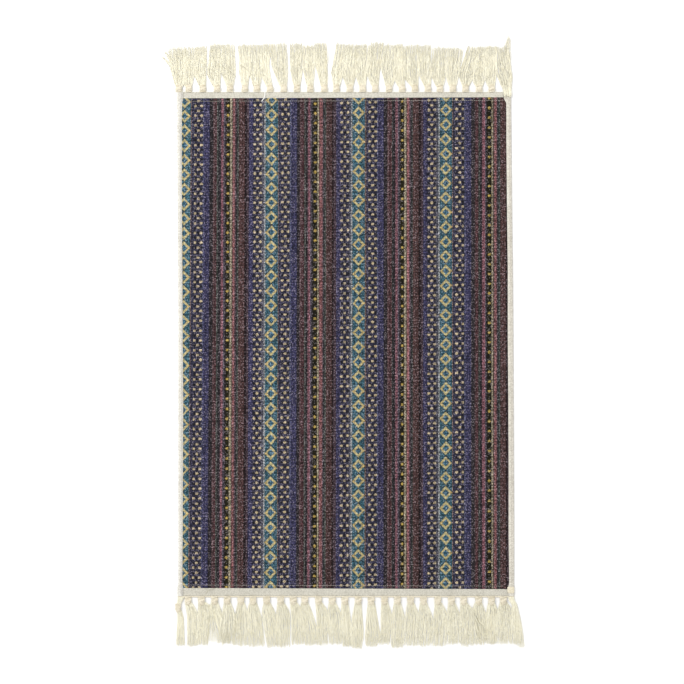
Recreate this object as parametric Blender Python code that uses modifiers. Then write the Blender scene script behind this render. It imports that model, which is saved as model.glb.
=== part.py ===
"""A striped cotton doormat with taped edges and a knotted fringe at each short end.

The panel lies flat. Its long sides are thinned to tongues that folded side bindings hold, its short ends lie
on heading bands, and a row of knotted tassels is tied along a cord at the outer edge of each band.

X runs across the mat, Y along it and Z up. The underside lies on Z = 0, and the origin is at the middle of the
whole outline. Sizes are in millimetres until MM turns them into the scene's metres.
"""

import math
import random
from collections import namedtuple

import bmesh
import bpy
import numpy as np
from mathutils import Matrix, Vector

MM = 0.001

# Cloth of the mat, from its middle to the outer edge of a heading band
HALF_LENGTH = 450.0
SEAM_AIR = 0.3

# Long edges, as uneven as they lie: the mat is a little wider towards its lower end
EdgeRow = namedtuple("EdgeRow", "along left_outer left_inner right_inner right_outer")
EDGE_ROWS = (
    EdgeRow(-450.0, -301.0, -291.5, 290.5, 301.0),
    EdgeRow(-434.5, -301.0, -291.0, 289.5, 301.0),
    EdgeRow(-427.5, -299.5, -292.0, 291.5, 300.5),
    EdgeRow(-336.5, -299.5, -291.5, 290.5, 300.5),
    EdgeRow(-218.5, -299.5, -291.0, 290.5, 300.0),
    EdgeRow(-100.5, -299.5, -290.5, 290.0, 299.5),
    EdgeRow(17.5, -299.5, -291.5, 289.0, 299.0),
    EdgeRow(135.5, -300.0, -292.0, 289.0, 298.0),
    EdgeRow(253.5, -301.0, -293.0, 287.5, 296.5),
    EdgeRow(371.0, -301.5, -293.0, 286.5, 295.5),
    EdgeRow(430.0, -301.5, -292.5, 286.5, 295.0),
    EdgeRow(438.5, -302.0, -291.0, 282.0, 295.0),
    EdgeRow(450.0, -302.0, -291.0, 281.5, 295.0),
)

# Woven panel
PANEL_THICKNESS = 2.6
TONGUE_UNDERSIDE = 1.1
TONGUE_TOP = 1.9

# Short ends of the panel: where each crosses the mat's middle line, and how it runs off square
EndLine = namedtuple("EndLine", "along skew")
TOP_END = EndLine(439.7, 0.0031)
BOTTOM_END = EndLine(-436.7, -0.0035)

# The last stretch of the panel is thinned from below, where it lies on its heading band
LAP_LENGTH = 6.0
LAP_RAMP = 0.5
LAP_UNDERSIDE = 1.3

# Heading band: a thick outer part that shows, and a thin inner part under the panel
BAND_THICKNESS = 1.9
BAND_LAP_THICKNESS = 1.0
BAND_LAP_LENGTH = 5.6

# Side binding, a tape folded round the panel's tongue
BINDING_THICKNESS = 0.8
BINDING_HEIGHT = 3.0
BINDING_FOLD_CHAMFER = 0.6

# Cord along the outer edge of a heading band, which carries the tassels
CORD_WIDTH = 2.6
CORD_HEIGHT = 3.6
CORD_CHAMFER = 0.5

# Rings of a tassel: two of the root in the cord, then those of the knot, whose wrap runs on a slant and whose
# outer edges are lifted off the floor. RING_SHOULDER says how far down the arched top comes at its edges.
KnotRing = namedtuple("KnotRing", "out half_width underside top slant edge_lift")
ROOT_RINGS = (
    KnotRing(-1.6, 5.4, 0.9, 2.3, 0.0, 0.0),
    KnotRing(0.8, 5.8, 0.8, 2.9, 0.0, 0.0),
)
KNOT_RINGS = (
    KnotRing(4.0, 7.1, 0.0, 8.2, 1.2, 1.0),
    KnotRing(9.4, 6.3, 0.0, 8.6, 1.2, 1.0),
    KnotRing(12.6, 4.7, 0.0, 5.0, 0.0, 0.0),
)
RING_SHOULDER = 0.9

# Locks of a tassel, fanned on the floor
LOCKS_PER_TASSEL = 5
LOCK_FILL = 0.86
LOCK_BEND = 0.3
LOCK_BEND_TOP = 3.9
LOCK_TIP_TOP = 2.7
LOCK_TIP_TOP_VARIATION = 0.5
LOCK_LENGTH_VARIATION = 2.5
FAN_EASE = 0.45
YARN_SEED = 26

# Each tassel: its knot, the span of its tips, and how far the tips reach from the band's edge. A corner tassel
# has its root apart from its knot, a slimmer neck, a knot set further out, or one lock that runs on past the rest.
Tassel = namedtuple("Tassel", "knot tip_left tip_right reach root slimness drop wisp")
Tassel.__new__.__defaults__ = (None, 1.0, 0.0, 0.0)
TOP_TASSELS = (
    Tassel(-298.5, -325.0, -291.0, 78.5, root=-295.8),
    Tassel(-280.5, -289.5, -269.0, 79.5),
    Tassel(-255.5, -268.0, -249.0, 80.5),
    Tassel(-230.0, -241.0, -220.0, 84.5),
    Tassel(-207.0, -218.5, -198.0, 84.5),
    Tassel(-180.5, -193.0, -174.5, 84.0),
    Tassel(-159.0, -173.0, -153.0, 84.5),
    Tassel(-135.5, -151.5, -133.5, 85.0),
    Tassel(-111.0, -131.5, -106.5, 86.5),
    Tassel(-87.5, -98.5, -75.0, 87.0),
    Tassel(-63.5, -73.5, -57.0, 82.0),
    Tassel(-38.5, -55.5, -34.5, 87.0),
    Tassel(-17.0, -17.0, 1.5, 85.5),
    Tassel(7.0, 3.0, 20.0, 84.5),
    Tassel(30.0, 21.5, 43.0, 84.0),
    Tassel(52.5, 44.5, 67.5, 88.0),
    Tassel(77.0, 69.0, 87.5, 84.5),
    Tassel(100.5, 89.0, 100.5, 84.0),
    Tassel(123.5, 102.0, 129.0, 84.0),
    Tassel(146.5, 130.5, 151.0, 83.0),
    Tassel(168.0, 155.5, 181.5, 79.5),
    Tassel(191.0, 183.0, 209.5, 78.5),
    Tassel(213.5, 218.0, 234.0, 79.5),
    Tassel(238.0, 235.5, 251.0, 79.5),
    Tassel(260.5, 252.5, 268.0, 81.5),
    Tassel(287.5, 270.0, 291.5, 80.5, root=287.6, wisp=20.0),
)
BOTTOM_TASSELS = (
    Tassel(-299.5, -303.0, -287.5, 90.0, root=-295.5, slimness=0.78, drop=12.0),
    Tassel(-282.0, -284.5, -266.0, 88.5),
    Tassel(-258.0, -264.5, -247.5, 86.5),
    Tassel(-234.5, -241.0, -225.5, 86.0),
    Tassel(-212.0, -224.0, -202.5, 85.0),
    Tassel(-187.5, -201.0, -173.0, 88.0),
    Tassel(-166.0, -171.5, -143.5, 89.0),
    Tassel(-141.5, -141.0, -123.0, 90.0),
    Tassel(-116.5, -121.5, -101.5, 90.0),
    Tassel(-94.0, -94.5, -74.5, 86.0),
    Tassel(-73.5, -72.5, -54.5, 86.5),
    Tassel(-49.0, -51.5, -28.0, 86.0),
    Tassel(-24.5, -26.0, -8.0, 85.0),
    Tassel(-2.0, -5.0, 11.0, 89.0),
    Tassel(22.0, 13.0, 28.0, 92.0),
    Tassel(45.0, 34.5, 54.5, 89.0),
    Tassel(69.0, 56.5, 79.5, 85.0),
    Tassel(92.0, 81.5, 101.0, 91.0),
    Tassel(115.5, 102.5, 127.0, 88.0),
    Tassel(138.5, 129.5, 154.0, 88.5),
    Tassel(164.0, 156.5, 180.5, 89.0),
    Tassel(188.5, 183.5, 203.0, 85.5),
    Tassel(210.0, 205.0, 229.5, 89.0),
    Tassel(237.0, 231.5, 252.0, 86.0),
    Tassel(260.0, 254.0, 267.5, 84.0),
    Tassel(281.0, 269.5, 292.5, 84.0),
    Tassel(302.0, 298.0, 318.0, 92.5, root=295.3, slimness=0.75, drop=4.0),
)

# Finishes
Finish = namedtuple("Finish", "colour roughness metallic")
WOVEN_STRIPES = Finish((0.088, 0.075, 0.088, 1.0), 0.95, 0.0)
CREAM_TAPE = Finish((0.76, 0.72, 0.62, 1.0), 0.9, 0.0)
RIBBED_TAPE = Finish((0.66, 0.64, 0.56, 1.0), 0.9, 0.0)
CREAM_YARN = Finish((0.86, 0.82, 0.66, 1.0), 0.95, 0.0)


def clear_scene():
    for item in list(bpy.data.objects):
        bpy.data.objects.remove(item, do_unlink=True)


def new_collection(name):
    collection = bpy.data.collections.new(name)
    bpy.context.scene.collection.children.link(collection)
    return collection


def new_material(name, finish):
    material = bpy.data.materials.new(name)
    material.use_nodes = True
    shader = material.node_tree.nodes["Principled BSDF"]
    shader.inputs["Base Color"].default_value = finish.colour
    shader.inputs["Roughness"].default_value = finish.roughness
    shader.inputs["Metallic"].default_value = finish.metallic
    return material


def new_object(name, bm, material, collection):
    """Turn a bmesh in millimetres into an object in metres, with its faces pointing out."""
    bmesh.ops.recalc_face_normals(bm, faces=bm.faces)
    bmesh.ops.scale(bm, vec=(MM, MM, MM), verts=bm.verts)
    mesh = bpy.data.meshes.new(name)
    bm.to_mesh(mesh)
    bm.free()
    mesh.materials.append(material)
    item = bpy.data.objects.new(name, mesh)
    collection.objects.link(item)
    return item


def skin(bm, before, after):
    """Join two rings of vertices with a band of faces."""
    for here in range(len(before)):
        there = (here + 1) % len(before)
        bm.faces.new((before[here], before[there], after[there], after[here]))


def loft(bm, rings):
    """Join rings of equal length into a closed tube with a flat cap at each end."""
    loops = [[bm.verts.new(point) for point in ring] for ring in rings]
    for before, after in zip(loops, loops[1:]):
        skin(bm, before, after)
    bm.faces.new(loops[0])
    bm.faces.new(loops[-1])


def edge_at(column, along):
    """Distance of one of the long edge lines from the mat's middle line, at a place along the mat."""
    places = [row.along for row in EDGE_ROWS]
    return float(np.interp(along, places, [getattr(row, column) for row in EDGE_ROWS]))


def panel_ring(line, underside):
    """Section of the panel on a crossing line: a thick middle with a thin tongue at each side."""
    left_place = line.along + line.skew * EDGE_ROWS[0].left_inner
    right_place = line.along + line.skew * EDGE_ROWS[0].right_inner
    left = edge_at("left_inner", left_place) + SEAM_AIR
    right = edge_at("right_inner", right_place) - SEAM_AIR
    left_tip = edge_at("left_outer", left_place) + BINDING_THICKNESS + SEAM_AIR
    right_tip = edge_at("right_outer", right_place) - BINDING_THICKNESS - SEAM_AIR
    section = (
        (left_tip, TONGUE_UNDERSIDE),
        (left, TONGUE_UNDERSIDE),
        (left, underside),
        (right, underside),
        (right, TONGUE_UNDERSIDE),
        (right_tip, TONGUE_UNDERSIDE),
        (right_tip, TONGUE_TOP),
        (right, TONGUE_TOP),
        (right, PANEL_THICKNESS),
        (left, PANEL_THICKNESS),
        (left, TONGUE_TOP),
        (left_tip, TONGUE_TOP),
    )
    return [(across, line.along + line.skew * across, height) for across, height in section]


def build_panel(material, collection):
    """The woven panel, one flat sheet that follows the uneven long edges."""
    def set_in(end, inset):
        return EndLine(end.along - math.copysign(inset, end.along), end.skew)

    lines = []
    for end in (BOTTOM_END, TOP_END):
        lines.append((end, LAP_UNDERSIDE))
        lines.append((set_in(end, LAP_LENGTH), LAP_UNDERSIDE))
        lines.append((set_in(end, LAP_LENGTH + LAP_RAMP), 0.0))
    for row in EDGE_ROWS:
        if BOTTOM_END.along < row.along < TOP_END.along:
            over_lap = min(row.along - BOTTOM_END.along, TOP_END.along - row.along) < LAP_LENGTH
            lines.append((EndLine(row.along, 0.0), LAP_UNDERSIDE if over_lap else 0.0))
    lines.sort(key=lambda line: line[0].along)
    rings = [panel_ring(line, underside) for line, underside in lines]
    bm = bmesh.new()
    loft(bm, rings)
    return new_object("mat_panel", bm, material, collection)


def build_heading_band(name, end, material, collection):
    """A tape under the panel's end whose thick outer part shows beyond it."""
    outward = math.copysign(1.0, end.along)
    crossings = (outward * HALF_LENGTH, end.along)
    left = max(edge_at("left_inner", along) for along in crossings) + SEAM_AIR
    right = min(edge_at("right_inner", along) for along in crossings) - SEAM_AIR
    rings = []
    for across in (left, right):
        panel_edge = end.along + end.skew * across
        lap = panel_edge - outward * BAND_LAP_LENGTH
        step = panel_edge + outward * SEAM_AIR
        outer = outward * HALF_LENGTH
        rings.append([
            (across, lap, 0.0),
            (across, outer, 0.0),
            (across, outer, BAND_THICKNESS),
            (across, step, BAND_THICKNESS),
            (across, step, BAND_LAP_THICKNESS),
            (across, lap, BAND_LAP_THICKNESS),
        ])
    bm = bmesh.new()
    loft(bm, rings)
    return new_object(name, bm, material, collection)


def build_side_binding(name, side, material, collection):
    """A tape folded round the panel's tongue: an upper leg, a fold with broken edges and a lower leg."""
    inward = 1.0 if side == "left" else -1.0
    rings = []
    for row in EDGE_ROWS:
        outer = getattr(row, side + "_outer")
        inner = getattr(row, side + "_inner")
        fold = outer + inward * BINDING_THICKNESS
        broken = outer + inward * BINDING_FOLD_CHAMFER
        section = (
            (broken, 0.0),
            (inner, 0.0),
            (inner, BINDING_THICKNESS),
            (fold, BINDING_THICKNESS),
            (fold, BINDING_HEIGHT - BINDING_THICKNESS),
            (inner, BINDING_HEIGHT - BINDING_THICKNESS),
            (inner, BINDING_HEIGHT),
            (broken, BINDING_HEIGHT),
            (outer, BINDING_HEIGHT - BINDING_FOLD_CHAMFER),
            (outer, BINDING_FOLD_CHAMFER),
        )
        rings.append([(across, row.along, height) for across, height in section])
    bm = bmesh.new()
    loft(bm, rings)
    return new_object(name, bm, material, collection)


def ring_places():
    """Places of a tassel's long edges across its half width, from -1 to 1: one more than it has locks."""
    return [2.0 * step / LOCKS_PER_TASSEL - 1.0 for step in range(LOCKS_PER_TASSEL + 1)]


def place_point(bm, outward, point):
    """Add a tassel's point, given as (across, out from the cord's face, height)."""
    across, out, height = point
    return bm.verts.new((across, outward * (HALF_LENGTH + SEAM_AIR + CORD_WIDTH + out), height))


def knot_ring(bm, outward, tassel, ring, middle, drop):
    """One ring of a root or knot: its underside from left to right, then its arched top back again."""
    under = []
    over = []
    for place in ring_places():
        across = middle + place * ring.half_width * tassel.slimness
        out = ring.out + drop + place * ring.slant
        arch = math.sqrt(1.0 - (RING_SHOULDER * place) ** 2)
        edge_lift = ring.edge_lift if abs(place) == 1.0 else 0.0
        under.append((across, out, ring.underside + edge_lift))
        over.append((across, out, ring.underside + (ring.top - ring.underside) * arch))
    return [place_point(bm, outward, point) for point in under + over[::-1]]


def lock_corners(tassel, first, last, ahead, out, top):
    """Corners of a lock's section, on the floor and above it, as (across, out, height)."""
    knot_half = KNOT_RINGS[-1].half_width * tassel.slimness
    tip_middle = (tassel.tip_left + tassel.tip_right) / 2.0
    tip_half = (tassel.tip_right - tassel.tip_left) / 2.0
    middle = tassel.knot + (tip_middle - tassel.knot) * ahead
    half = knot_half + (tip_half - knot_half) * ahead ** FAN_EASE
    centre = middle + half * (first + last) / 2.0
    lock_half = LOCK_FILL * half * (last - first) / 2.0
    left = centre - lock_half
    right = centre + lock_half
    return [(left, out, 0.0), (right, out, 0.0), (right, out, top), (left, out, top)]


def add_locks(bm, outward, tassel, knot_end, dice):
    """The locks, each grown from its own cell of the knot's end; equal yarns reach less far where they lean."""
    places = ring_places()
    start = KNOT_RINGS[-1].out + tassel.drop
    run = tassel.reach - (CORD_WIDTH + SEAM_AIR) - start
    tip_middle = (tassel.tip_left + tassel.tip_right) / 2.0
    tip_half = (tassel.tip_right - tassel.tip_left) / 2.0
    yarn_length = math.hypot(run, tip_middle - tassel.knot)
    for number in range(LOCKS_PER_TASSEL):
        first = places[number]
        last = places[number + 1]
        length = yarn_length + dice.uniform(-LOCK_LENGTH_VARIATION, LOCK_LENGTH_VARIATION)
        if number == LOCKS_PER_TASSEL - 1:
            length += tassel.wisp
        sideways = tip_middle + tip_half * (first + last) / 2.0 - tassel.knot
        lock_run = math.sqrt(length ** 2 - sideways ** 2)
        tip_top = LOCK_TIP_TOP + dice.uniform(-LOCK_TIP_TOP_VARIATION, LOCK_TIP_TOP_VARIATION)
        section = [knot_end[number], knot_end[number + 1], knot_end[-2 - number], knot_end[-1 - number]]
        for ahead, top in ((LOCK_BEND, LOCK_BEND_TOP), (1.0, tip_top)):
            corners = lock_corners(tassel, first, last, ahead, start + lock_run * ahead, top)
            further = [place_point(bm, outward, point) for point in corners]
            skin(bm, section, further)
            section = further
        bm.faces.new(section)


def add_tassel(bm, outward, tassel, dice):
    """One closed tassel: a neck rooted in the cord, a knot, and locks that spread from its end."""
    root = tassel.knot if tassel.root is None else tassel.root
    rings = [knot_ring(bm, outward, tassel, ring, root, 0.0) for ring in ROOT_RINGS]
    rings += [knot_ring(bm, outward, tassel, ring, tassel.knot, tassel.drop) for ring in KNOT_RINGS]
    bm.faces.new(rings[0])
    for before, after in zip(rings, rings[1:]):
        skin(bm, before, after)
    add_locks(bm, outward, tassel, rings[-1], dice)


def build_fringe(name, outward, tassels, material, collection, joined_collection):
    """An edge cord with a row of tassels fused to it, as one closed body."""
    left = edge_at("left_outer", outward * HALF_LENGTH)
    right = edge_at("right_outer", outward * HALF_LENGTH)
    cord_line = outward * (HALF_LENGTH + SEAM_AIR + CORD_WIDTH / 2.0)
    middle = Vector(((left + right) / 2.0, cord_line, CORD_HEIGHT / 2.0))
    size = Vector((right - left, CORD_WIDTH, CORD_HEIGHT, 1.0))
    cord_mesh = bmesh.new()
    bmesh.ops.create_cube(cord_mesh, size=1.0, matrix=Matrix.Translation(middle) @ Matrix.Diagonal(size))
    cord = new_object(name, cord_mesh, material, collection)
    broken = cord.modifiers.new("broken edges", "BEVEL")
    broken.width = CORD_CHAMFER * MM
    broken.segments = 1
    broken.limit_method = "ANGLE"

    dice = random.Random(YARN_SEED)
    tassel_mesh = bmesh.new()
    for tassel in tassels:
        add_tassel(tassel_mesh, outward, tassel, dice)
    row = new_object(name + "_tassels", tassel_mesh, material, joined_collection)
    row.hide_render = True
    row.display_type = "WIRE"
    join = cord.modifiers.new("tassels", "BOOLEAN")
    join.operation = "UNION"
    join.solver = "EXACT"
    join.object = row
    return cord, row


def middle_of(items):
    """Middle of the outline of several objects whose vertices share one frame."""
    points = np.array([vertex.co[:2] for item in items for vertex in item.data.vertices])
    return (points.min(axis=0) + points.max(axis=0)) / 2.0


def main():
    clear_scene()
    doormat = new_collection("doormat")
    joined = new_collection("joined_in")
    stripes = new_material("woven_stripes", WOVEN_STRIPES)
    tape = new_material("cream_tape", CREAM_TAPE)
    ribbed = new_material("ribbed_tape", RIBBED_TAPE)
    yarn = new_material("cream_yarn", CREAM_YARN)

    items = [build_panel(stripes, doormat)]
    items.append(build_heading_band("heading_band_top", TOP_END, ribbed, doormat))
    items.append(build_heading_band("heading_band_bottom", BOTTOM_END, ribbed, doormat))
    items.append(build_side_binding("side_binding_left", "left", tape, doormat))
    items.append(build_side_binding("side_binding_right", "right", tape, doormat))
    items += build_fringe("knotted_fringe_top", 1.0, TOP_TASSELS, yarn, doormat, joined)
    items += build_fringe("knotted_fringe_bottom", -1.0, BOTTOM_TASSELS, yarn, doormat, joined)

    outline_middle = middle_of(items)
    frame = bpy.data.objects.new("mat_frame", None)
    doormat.objects.link(frame)
    frame.location = (-outline_middle[0], -outline_middle[1], 0.0)
    for item in items:
        item.parent = frame


main()
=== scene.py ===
"""Dressing of a striped cotton doormat with taped edges and a knotted fringe at each short end.

Every length is in millimetres from the mat's own middle, X across it and Y along it, until MatFrame turns it
into the frame's metres.
"""

import logging
import math
from dataclasses import dataclass
from enum import Enum

import bmesh
import bpy
import numpy as np
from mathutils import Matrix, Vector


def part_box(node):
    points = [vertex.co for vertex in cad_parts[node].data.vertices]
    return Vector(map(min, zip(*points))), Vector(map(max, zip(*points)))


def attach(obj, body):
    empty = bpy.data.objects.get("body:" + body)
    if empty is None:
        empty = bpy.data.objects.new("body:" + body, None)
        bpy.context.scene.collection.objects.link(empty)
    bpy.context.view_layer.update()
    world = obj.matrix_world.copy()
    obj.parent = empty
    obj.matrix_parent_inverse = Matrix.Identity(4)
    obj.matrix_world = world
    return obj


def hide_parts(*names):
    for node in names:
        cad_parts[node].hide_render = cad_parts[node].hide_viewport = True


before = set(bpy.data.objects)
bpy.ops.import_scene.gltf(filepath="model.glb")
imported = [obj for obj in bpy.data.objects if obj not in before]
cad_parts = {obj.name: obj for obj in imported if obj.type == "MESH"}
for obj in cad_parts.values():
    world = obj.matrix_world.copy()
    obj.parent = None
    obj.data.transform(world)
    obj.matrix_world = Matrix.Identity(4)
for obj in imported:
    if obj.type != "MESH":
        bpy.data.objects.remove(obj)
log = logging.getLogger("doormat")

Material = bpy.types.Material
Piece = bpy.types.Object
Socket = bpy.types.NodeSocket

MM = 0.001
HALF_LENGTH = 450.0
SEAM_AIR = 0.3
CORD_WIDTH = 2.6
SHEEN_ROUGHNESS = 0.6


class Side(Enum):
    """A long side of the mat."""

    LEFT = "left"
    RIGHT = "right"


class End(Enum):
    """A short end of the mat, with the sign of its way out along Y."""

    TOP = 1.0
    BOTTOM = -1.0


@dataclass(frozen=True)
class EdgeRow:
    """Where the outer and inner edges of both side bindings lie at one place along the mat."""

    along: float
    left_outer: float
    left_inner: float
    right_inner: float
    right_outer: float


EDGE_ROWS = (
    EdgeRow(-450.0, -301.0, -291.5, 290.5, 301.0),
    EdgeRow(-434.5, -301.0, -291.0, 289.5, 301.0),
    EdgeRow(-427.5, -299.5, -292.0, 291.5, 300.5),
    EdgeRow(-336.5, -299.5, -291.5, 290.5, 300.5),
    EdgeRow(-218.5, -299.5, -291.0, 290.5, 300.0),
    EdgeRow(-100.5, -299.5, -290.5, 290.0, 299.5),
    EdgeRow(17.5, -299.5, -291.5, 289.0, 299.0),
    EdgeRow(135.5, -300.0, -292.0, 289.0, 298.0),
    EdgeRow(253.5, -301.0, -293.0, 287.5, 296.5),
    EdgeRow(371.0, -301.5, -293.0, 286.5, 295.5),
    EdgeRow(430.0, -301.5, -292.5, 286.5, 295.0),
    EdgeRow(438.5, -302.0, -291.0, 282.0, 295.0),
    EdgeRow(450.0, -302.0, -291.0, 281.5, 295.0),
)


def edge_at(column: str, along: float | np.ndarray) -> float | np.ndarray:
    """Signed distance from the middle line to an edge, a field of EdgeRow, at places along the mat."""
    places = [row.along for row in EDGE_ROWS]
    return np.interp(along, places, [getattr(row, column) for row in EDGE_ROWS])


@dataclass(frozen=True)
class MatFrame:
    """Turns places on the mat, in millimetres from its middle, into the frame's metres."""

    across: float
    along: float

    @classmethod
    def from_cad(cls) -> "MatFrame":
        """Place the mat's middle from the left binding, which runs the whole length of the cloth.

        Returns:
            The mat's frame.
        """
        low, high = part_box("side_binding_left")
        outermost = min(row.left_outer for row in EDGE_ROWS)
        return cls(low.x / MM - outermost, (low.y + high.y) / 2.0 / MM)

    def metres(self, points: np.ndarray) -> np.ndarray:
        """Points of the mat, in metres in the frame."""
        return (np.asarray(points, dtype=float) + (self.across, self.along, 0.0)) * MM


class NodeTree:
    """Short hand for building a node tree."""

    def __init__(self, tree: bpy.types.NodeTree) -> None:
        """Keep the tree that nodes are added to."""
        self.tree = tree

    def add(self, kind: str, inputs: dict | None = None, **settings: object) -> bpy.types.Node:
        """Add a node, with its settings, and link or set its inputs.

        Args:
            kind: The node's type.
            inputs: For each input, by name or number, a socket to link or a value to set.
            **settings: The node's own properties.

        Returns:
            The node.
        """
        node = self.tree.nodes.new(kind)
        for name, value in settings.items():
            setattr(node, name, value)
        for key, value in (inputs or {}).items():
            if isinstance(value, Socket):
                self.tree.links.new(value, node.inputs[key])
            else:
                node.inputs[key].default_value = value
        return node

    def first(self, kind: str, inputs: dict | None = None, **settings: object) -> Socket:
        """First output of a new node."""
        return self.add(kind, inputs, **settings).outputs[0]

    def math(self, operation: str, *values: object) -> Socket:
        """Result of a Math node on up to three sockets or numbers."""
        return self.first("ShaderNodeMath", dict(enumerate(values)), operation=operation)

    def vector(self, operation: str, *values: object) -> Socket:
        """Result of a Vector Math node on up to three sockets or vectors."""
        return self.first("ShaderNodeVectorMath", dict(enumerate(values)), operation=operation)

    def scale(self, vector: object, factor: object) -> Socket:
        """A vector or colour times a number."""
        return self.first("ShaderNodeVectorMath", {0: vector, "Scale": factor}, operation="SCALE")

    def blend(self, factor: object, first: object, second: object) -> Socket:
        """Mix of two colours."""
        inputs = {0: factor, 6: first, 7: second}
        return self.add("ShaderNodeMix", inputs, data_type="RGBA", clamp_factor=True).outputs[2]

    def weighed(self, start: float, *parts: tuple[Socket, float]) -> Socket:
        """Add up several values by weight.

        Args:
            start: The number to start from.
            *parts: Each value and its weight.

        Returns:
            The sum.
        """
        result = start
        for value, weight in parts:
            result = self.math("ADD", result, self.math("MULTIPLY", value, weight))
        return result

    def wave(self, place: Socket, length: float) -> Socket:
        """Sine wave of a given length at a place."""
        return self.math("SINE", self.math("MULTIPLY", place, 2.0 * math.pi / length))

    def noise(self, place: Socket, scale: float, detail: float) -> Socket:
        """Soft noise from 0 to 1 at a place."""
        return self.first("ShaderNodeTexNoise", {"Vector": place, "Scale": scale, "Detail": detail})

    def stretched(self, across: Socket, along: Socket, shares: tuple[float, float]) -> Socket:
        """Scale the two parts of a place, so that noise on it runs out in streaks.

        Args:
            across: Place across the mat.
            along: Place along the mat.
            shares: The scale of each.

        Returns:
            The scaled place.
        """
        wide, long = shares
        parts = {"X": self.math("MULTIPLY", across, wide), "Y": self.math("MULTIPLY", along, long)}
        return self.first("ShaderNodeCombineXYZ", parts)

    def chart(self) -> tuple[Socket, Socket, Socket]:
        """Read a piece's chart.

        Returns:
            The place on the chart in millimetres, and its parts across and along.
        """
        place = self.scale(self.add("ShaderNodeUVMap", uv_map="chart").outputs["UV"], 1.0 / MM)
        parts = self.add("ShaderNodeSeparateXYZ", {0: place}).outputs
        return place, parts["X"], parts["Y"]

    def dress(self, shader: bpy.types.Node, colour: Socket, height: Socket, strength: float,
              depth: float) -> None:
        """Give a shader its colour and its raised grain.

        Args:
            shader: The shader.
            colour: Its base colour.
            height: Height of the grain, in shares of its depth.
            strength: Strength of the grain.
            depth: Depth of the grain in millimetres.
        """
        inputs = {"Strength": strength, "Distance": depth * MM, "Height": height}
        bump = self.add("ShaderNodeBump", inputs)
        self.tree.links.new(colour, shader.inputs["Base Color"])
        self.tree.links.new(bump.outputs["Normal"], shader.inputs["Normal"])

    def within(self, across: object, half_width: float, along: object, half_length: float) -> Socket:
        """One inside a rounded spot, and zero outside it.

        Args:
            across: Distance from the spot's middle across the mat.
            half_width: The spot's half width.
            along: Distance from the spot's middle along the mat.
            half_length: The spot's half length.

        Returns:
            The mask.
        """
        wide = self.math("POWER", self.math("DIVIDE", self.math("ABSOLUTE", across), half_width), 2.0)
        long = self.math("POWER", self.math("DIVIDE", self.math("ABSOLUTE", along), half_length), 2.0)
        return self.math("LESS_THAN", self.math("ADD", wide, long), 1.0)

    def from_middle(self, value: object, middle: float, period: float) -> Socket:
        """Signed distance from the nearest of a row of places, a period apart, that has one at middle."""
        return self.math("WRAP", self.math("SUBTRACT", value, middle), period / 2.0, -period / 2.0)


def new_material(name: str, roughness: float, sheen: float,
                 specular: float = 0.2) -> tuple[Material, NodeTree, bpy.types.Node]:
    """A material with a plain shader to build on.

    Args:
        name: The material's name.
        roughness: The shader's roughness.
        sheen: Weight of the cloth's sheen.
        specular: Level of the shader's mirror-like light.

    Returns:
        The material, its tree and its shader.
    """
    material = bpy.data.materials.new(name)
    material.use_nodes = True
    shader = material.node_tree.nodes["Principled BSDF"]
    settings = {"Roughness": roughness, "Specular IOR Level": specular, "Sheen Weight": sheen,
                "Sheen Roughness": SHEEN_ROUGHNESS}
    for label, value in settings.items():
        shader.inputs[label].default_value = value
    return material, NodeTree(material.node_tree), shader


class StripeYarn(Enum):
    """Dyed yarns of the woven panel, as linear colours."""

    PALE_BLUE = (0.190, 0.200, 0.205)
    TEAL = (0.034, 0.088, 0.118)
    RUST = (0.125, 0.085, 0.072)
    NIGHT = (0.030, 0.029, 0.053)
    MIST = (0.058, 0.064, 0.110)
    INDIGO = (0.034, 0.032, 0.074)
    BLACK = (0.021, 0.017, 0.020)
    DUSTY_ROSE = (0.086, 0.049, 0.052)
    MAROON = (0.061, 0.026, 0.029)
    MOSS = (0.047, 0.052, 0.046)
    PINK = (0.162, 0.067, 0.083)
    CORAL = (0.180, 0.074, 0.076)
    MAUVE = (0.072, 0.059, 0.078)
    OLIVE_BLACK = (0.010, 0.008, 0.002)
    SAND = (0.225, 0.195, 0.135)
    RED_BROWN = (0.062, 0.036, 0.032)
    PLUM = (0.052, 0.033, 0.042)
    CHARCOAL = (0.021, 0.021, 0.022)
    BROWN = (0.062, 0.031, 0.030)
    UMBER = (0.014, 0.007, 0.008)
    DUSK = (0.065, 0.065, 0.086)


@dataclass(frozen=True)
class Stripe:
    """One stripe of the warp: its width and its yarn."""

    width: float
    yarn: StripeYarn


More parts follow.
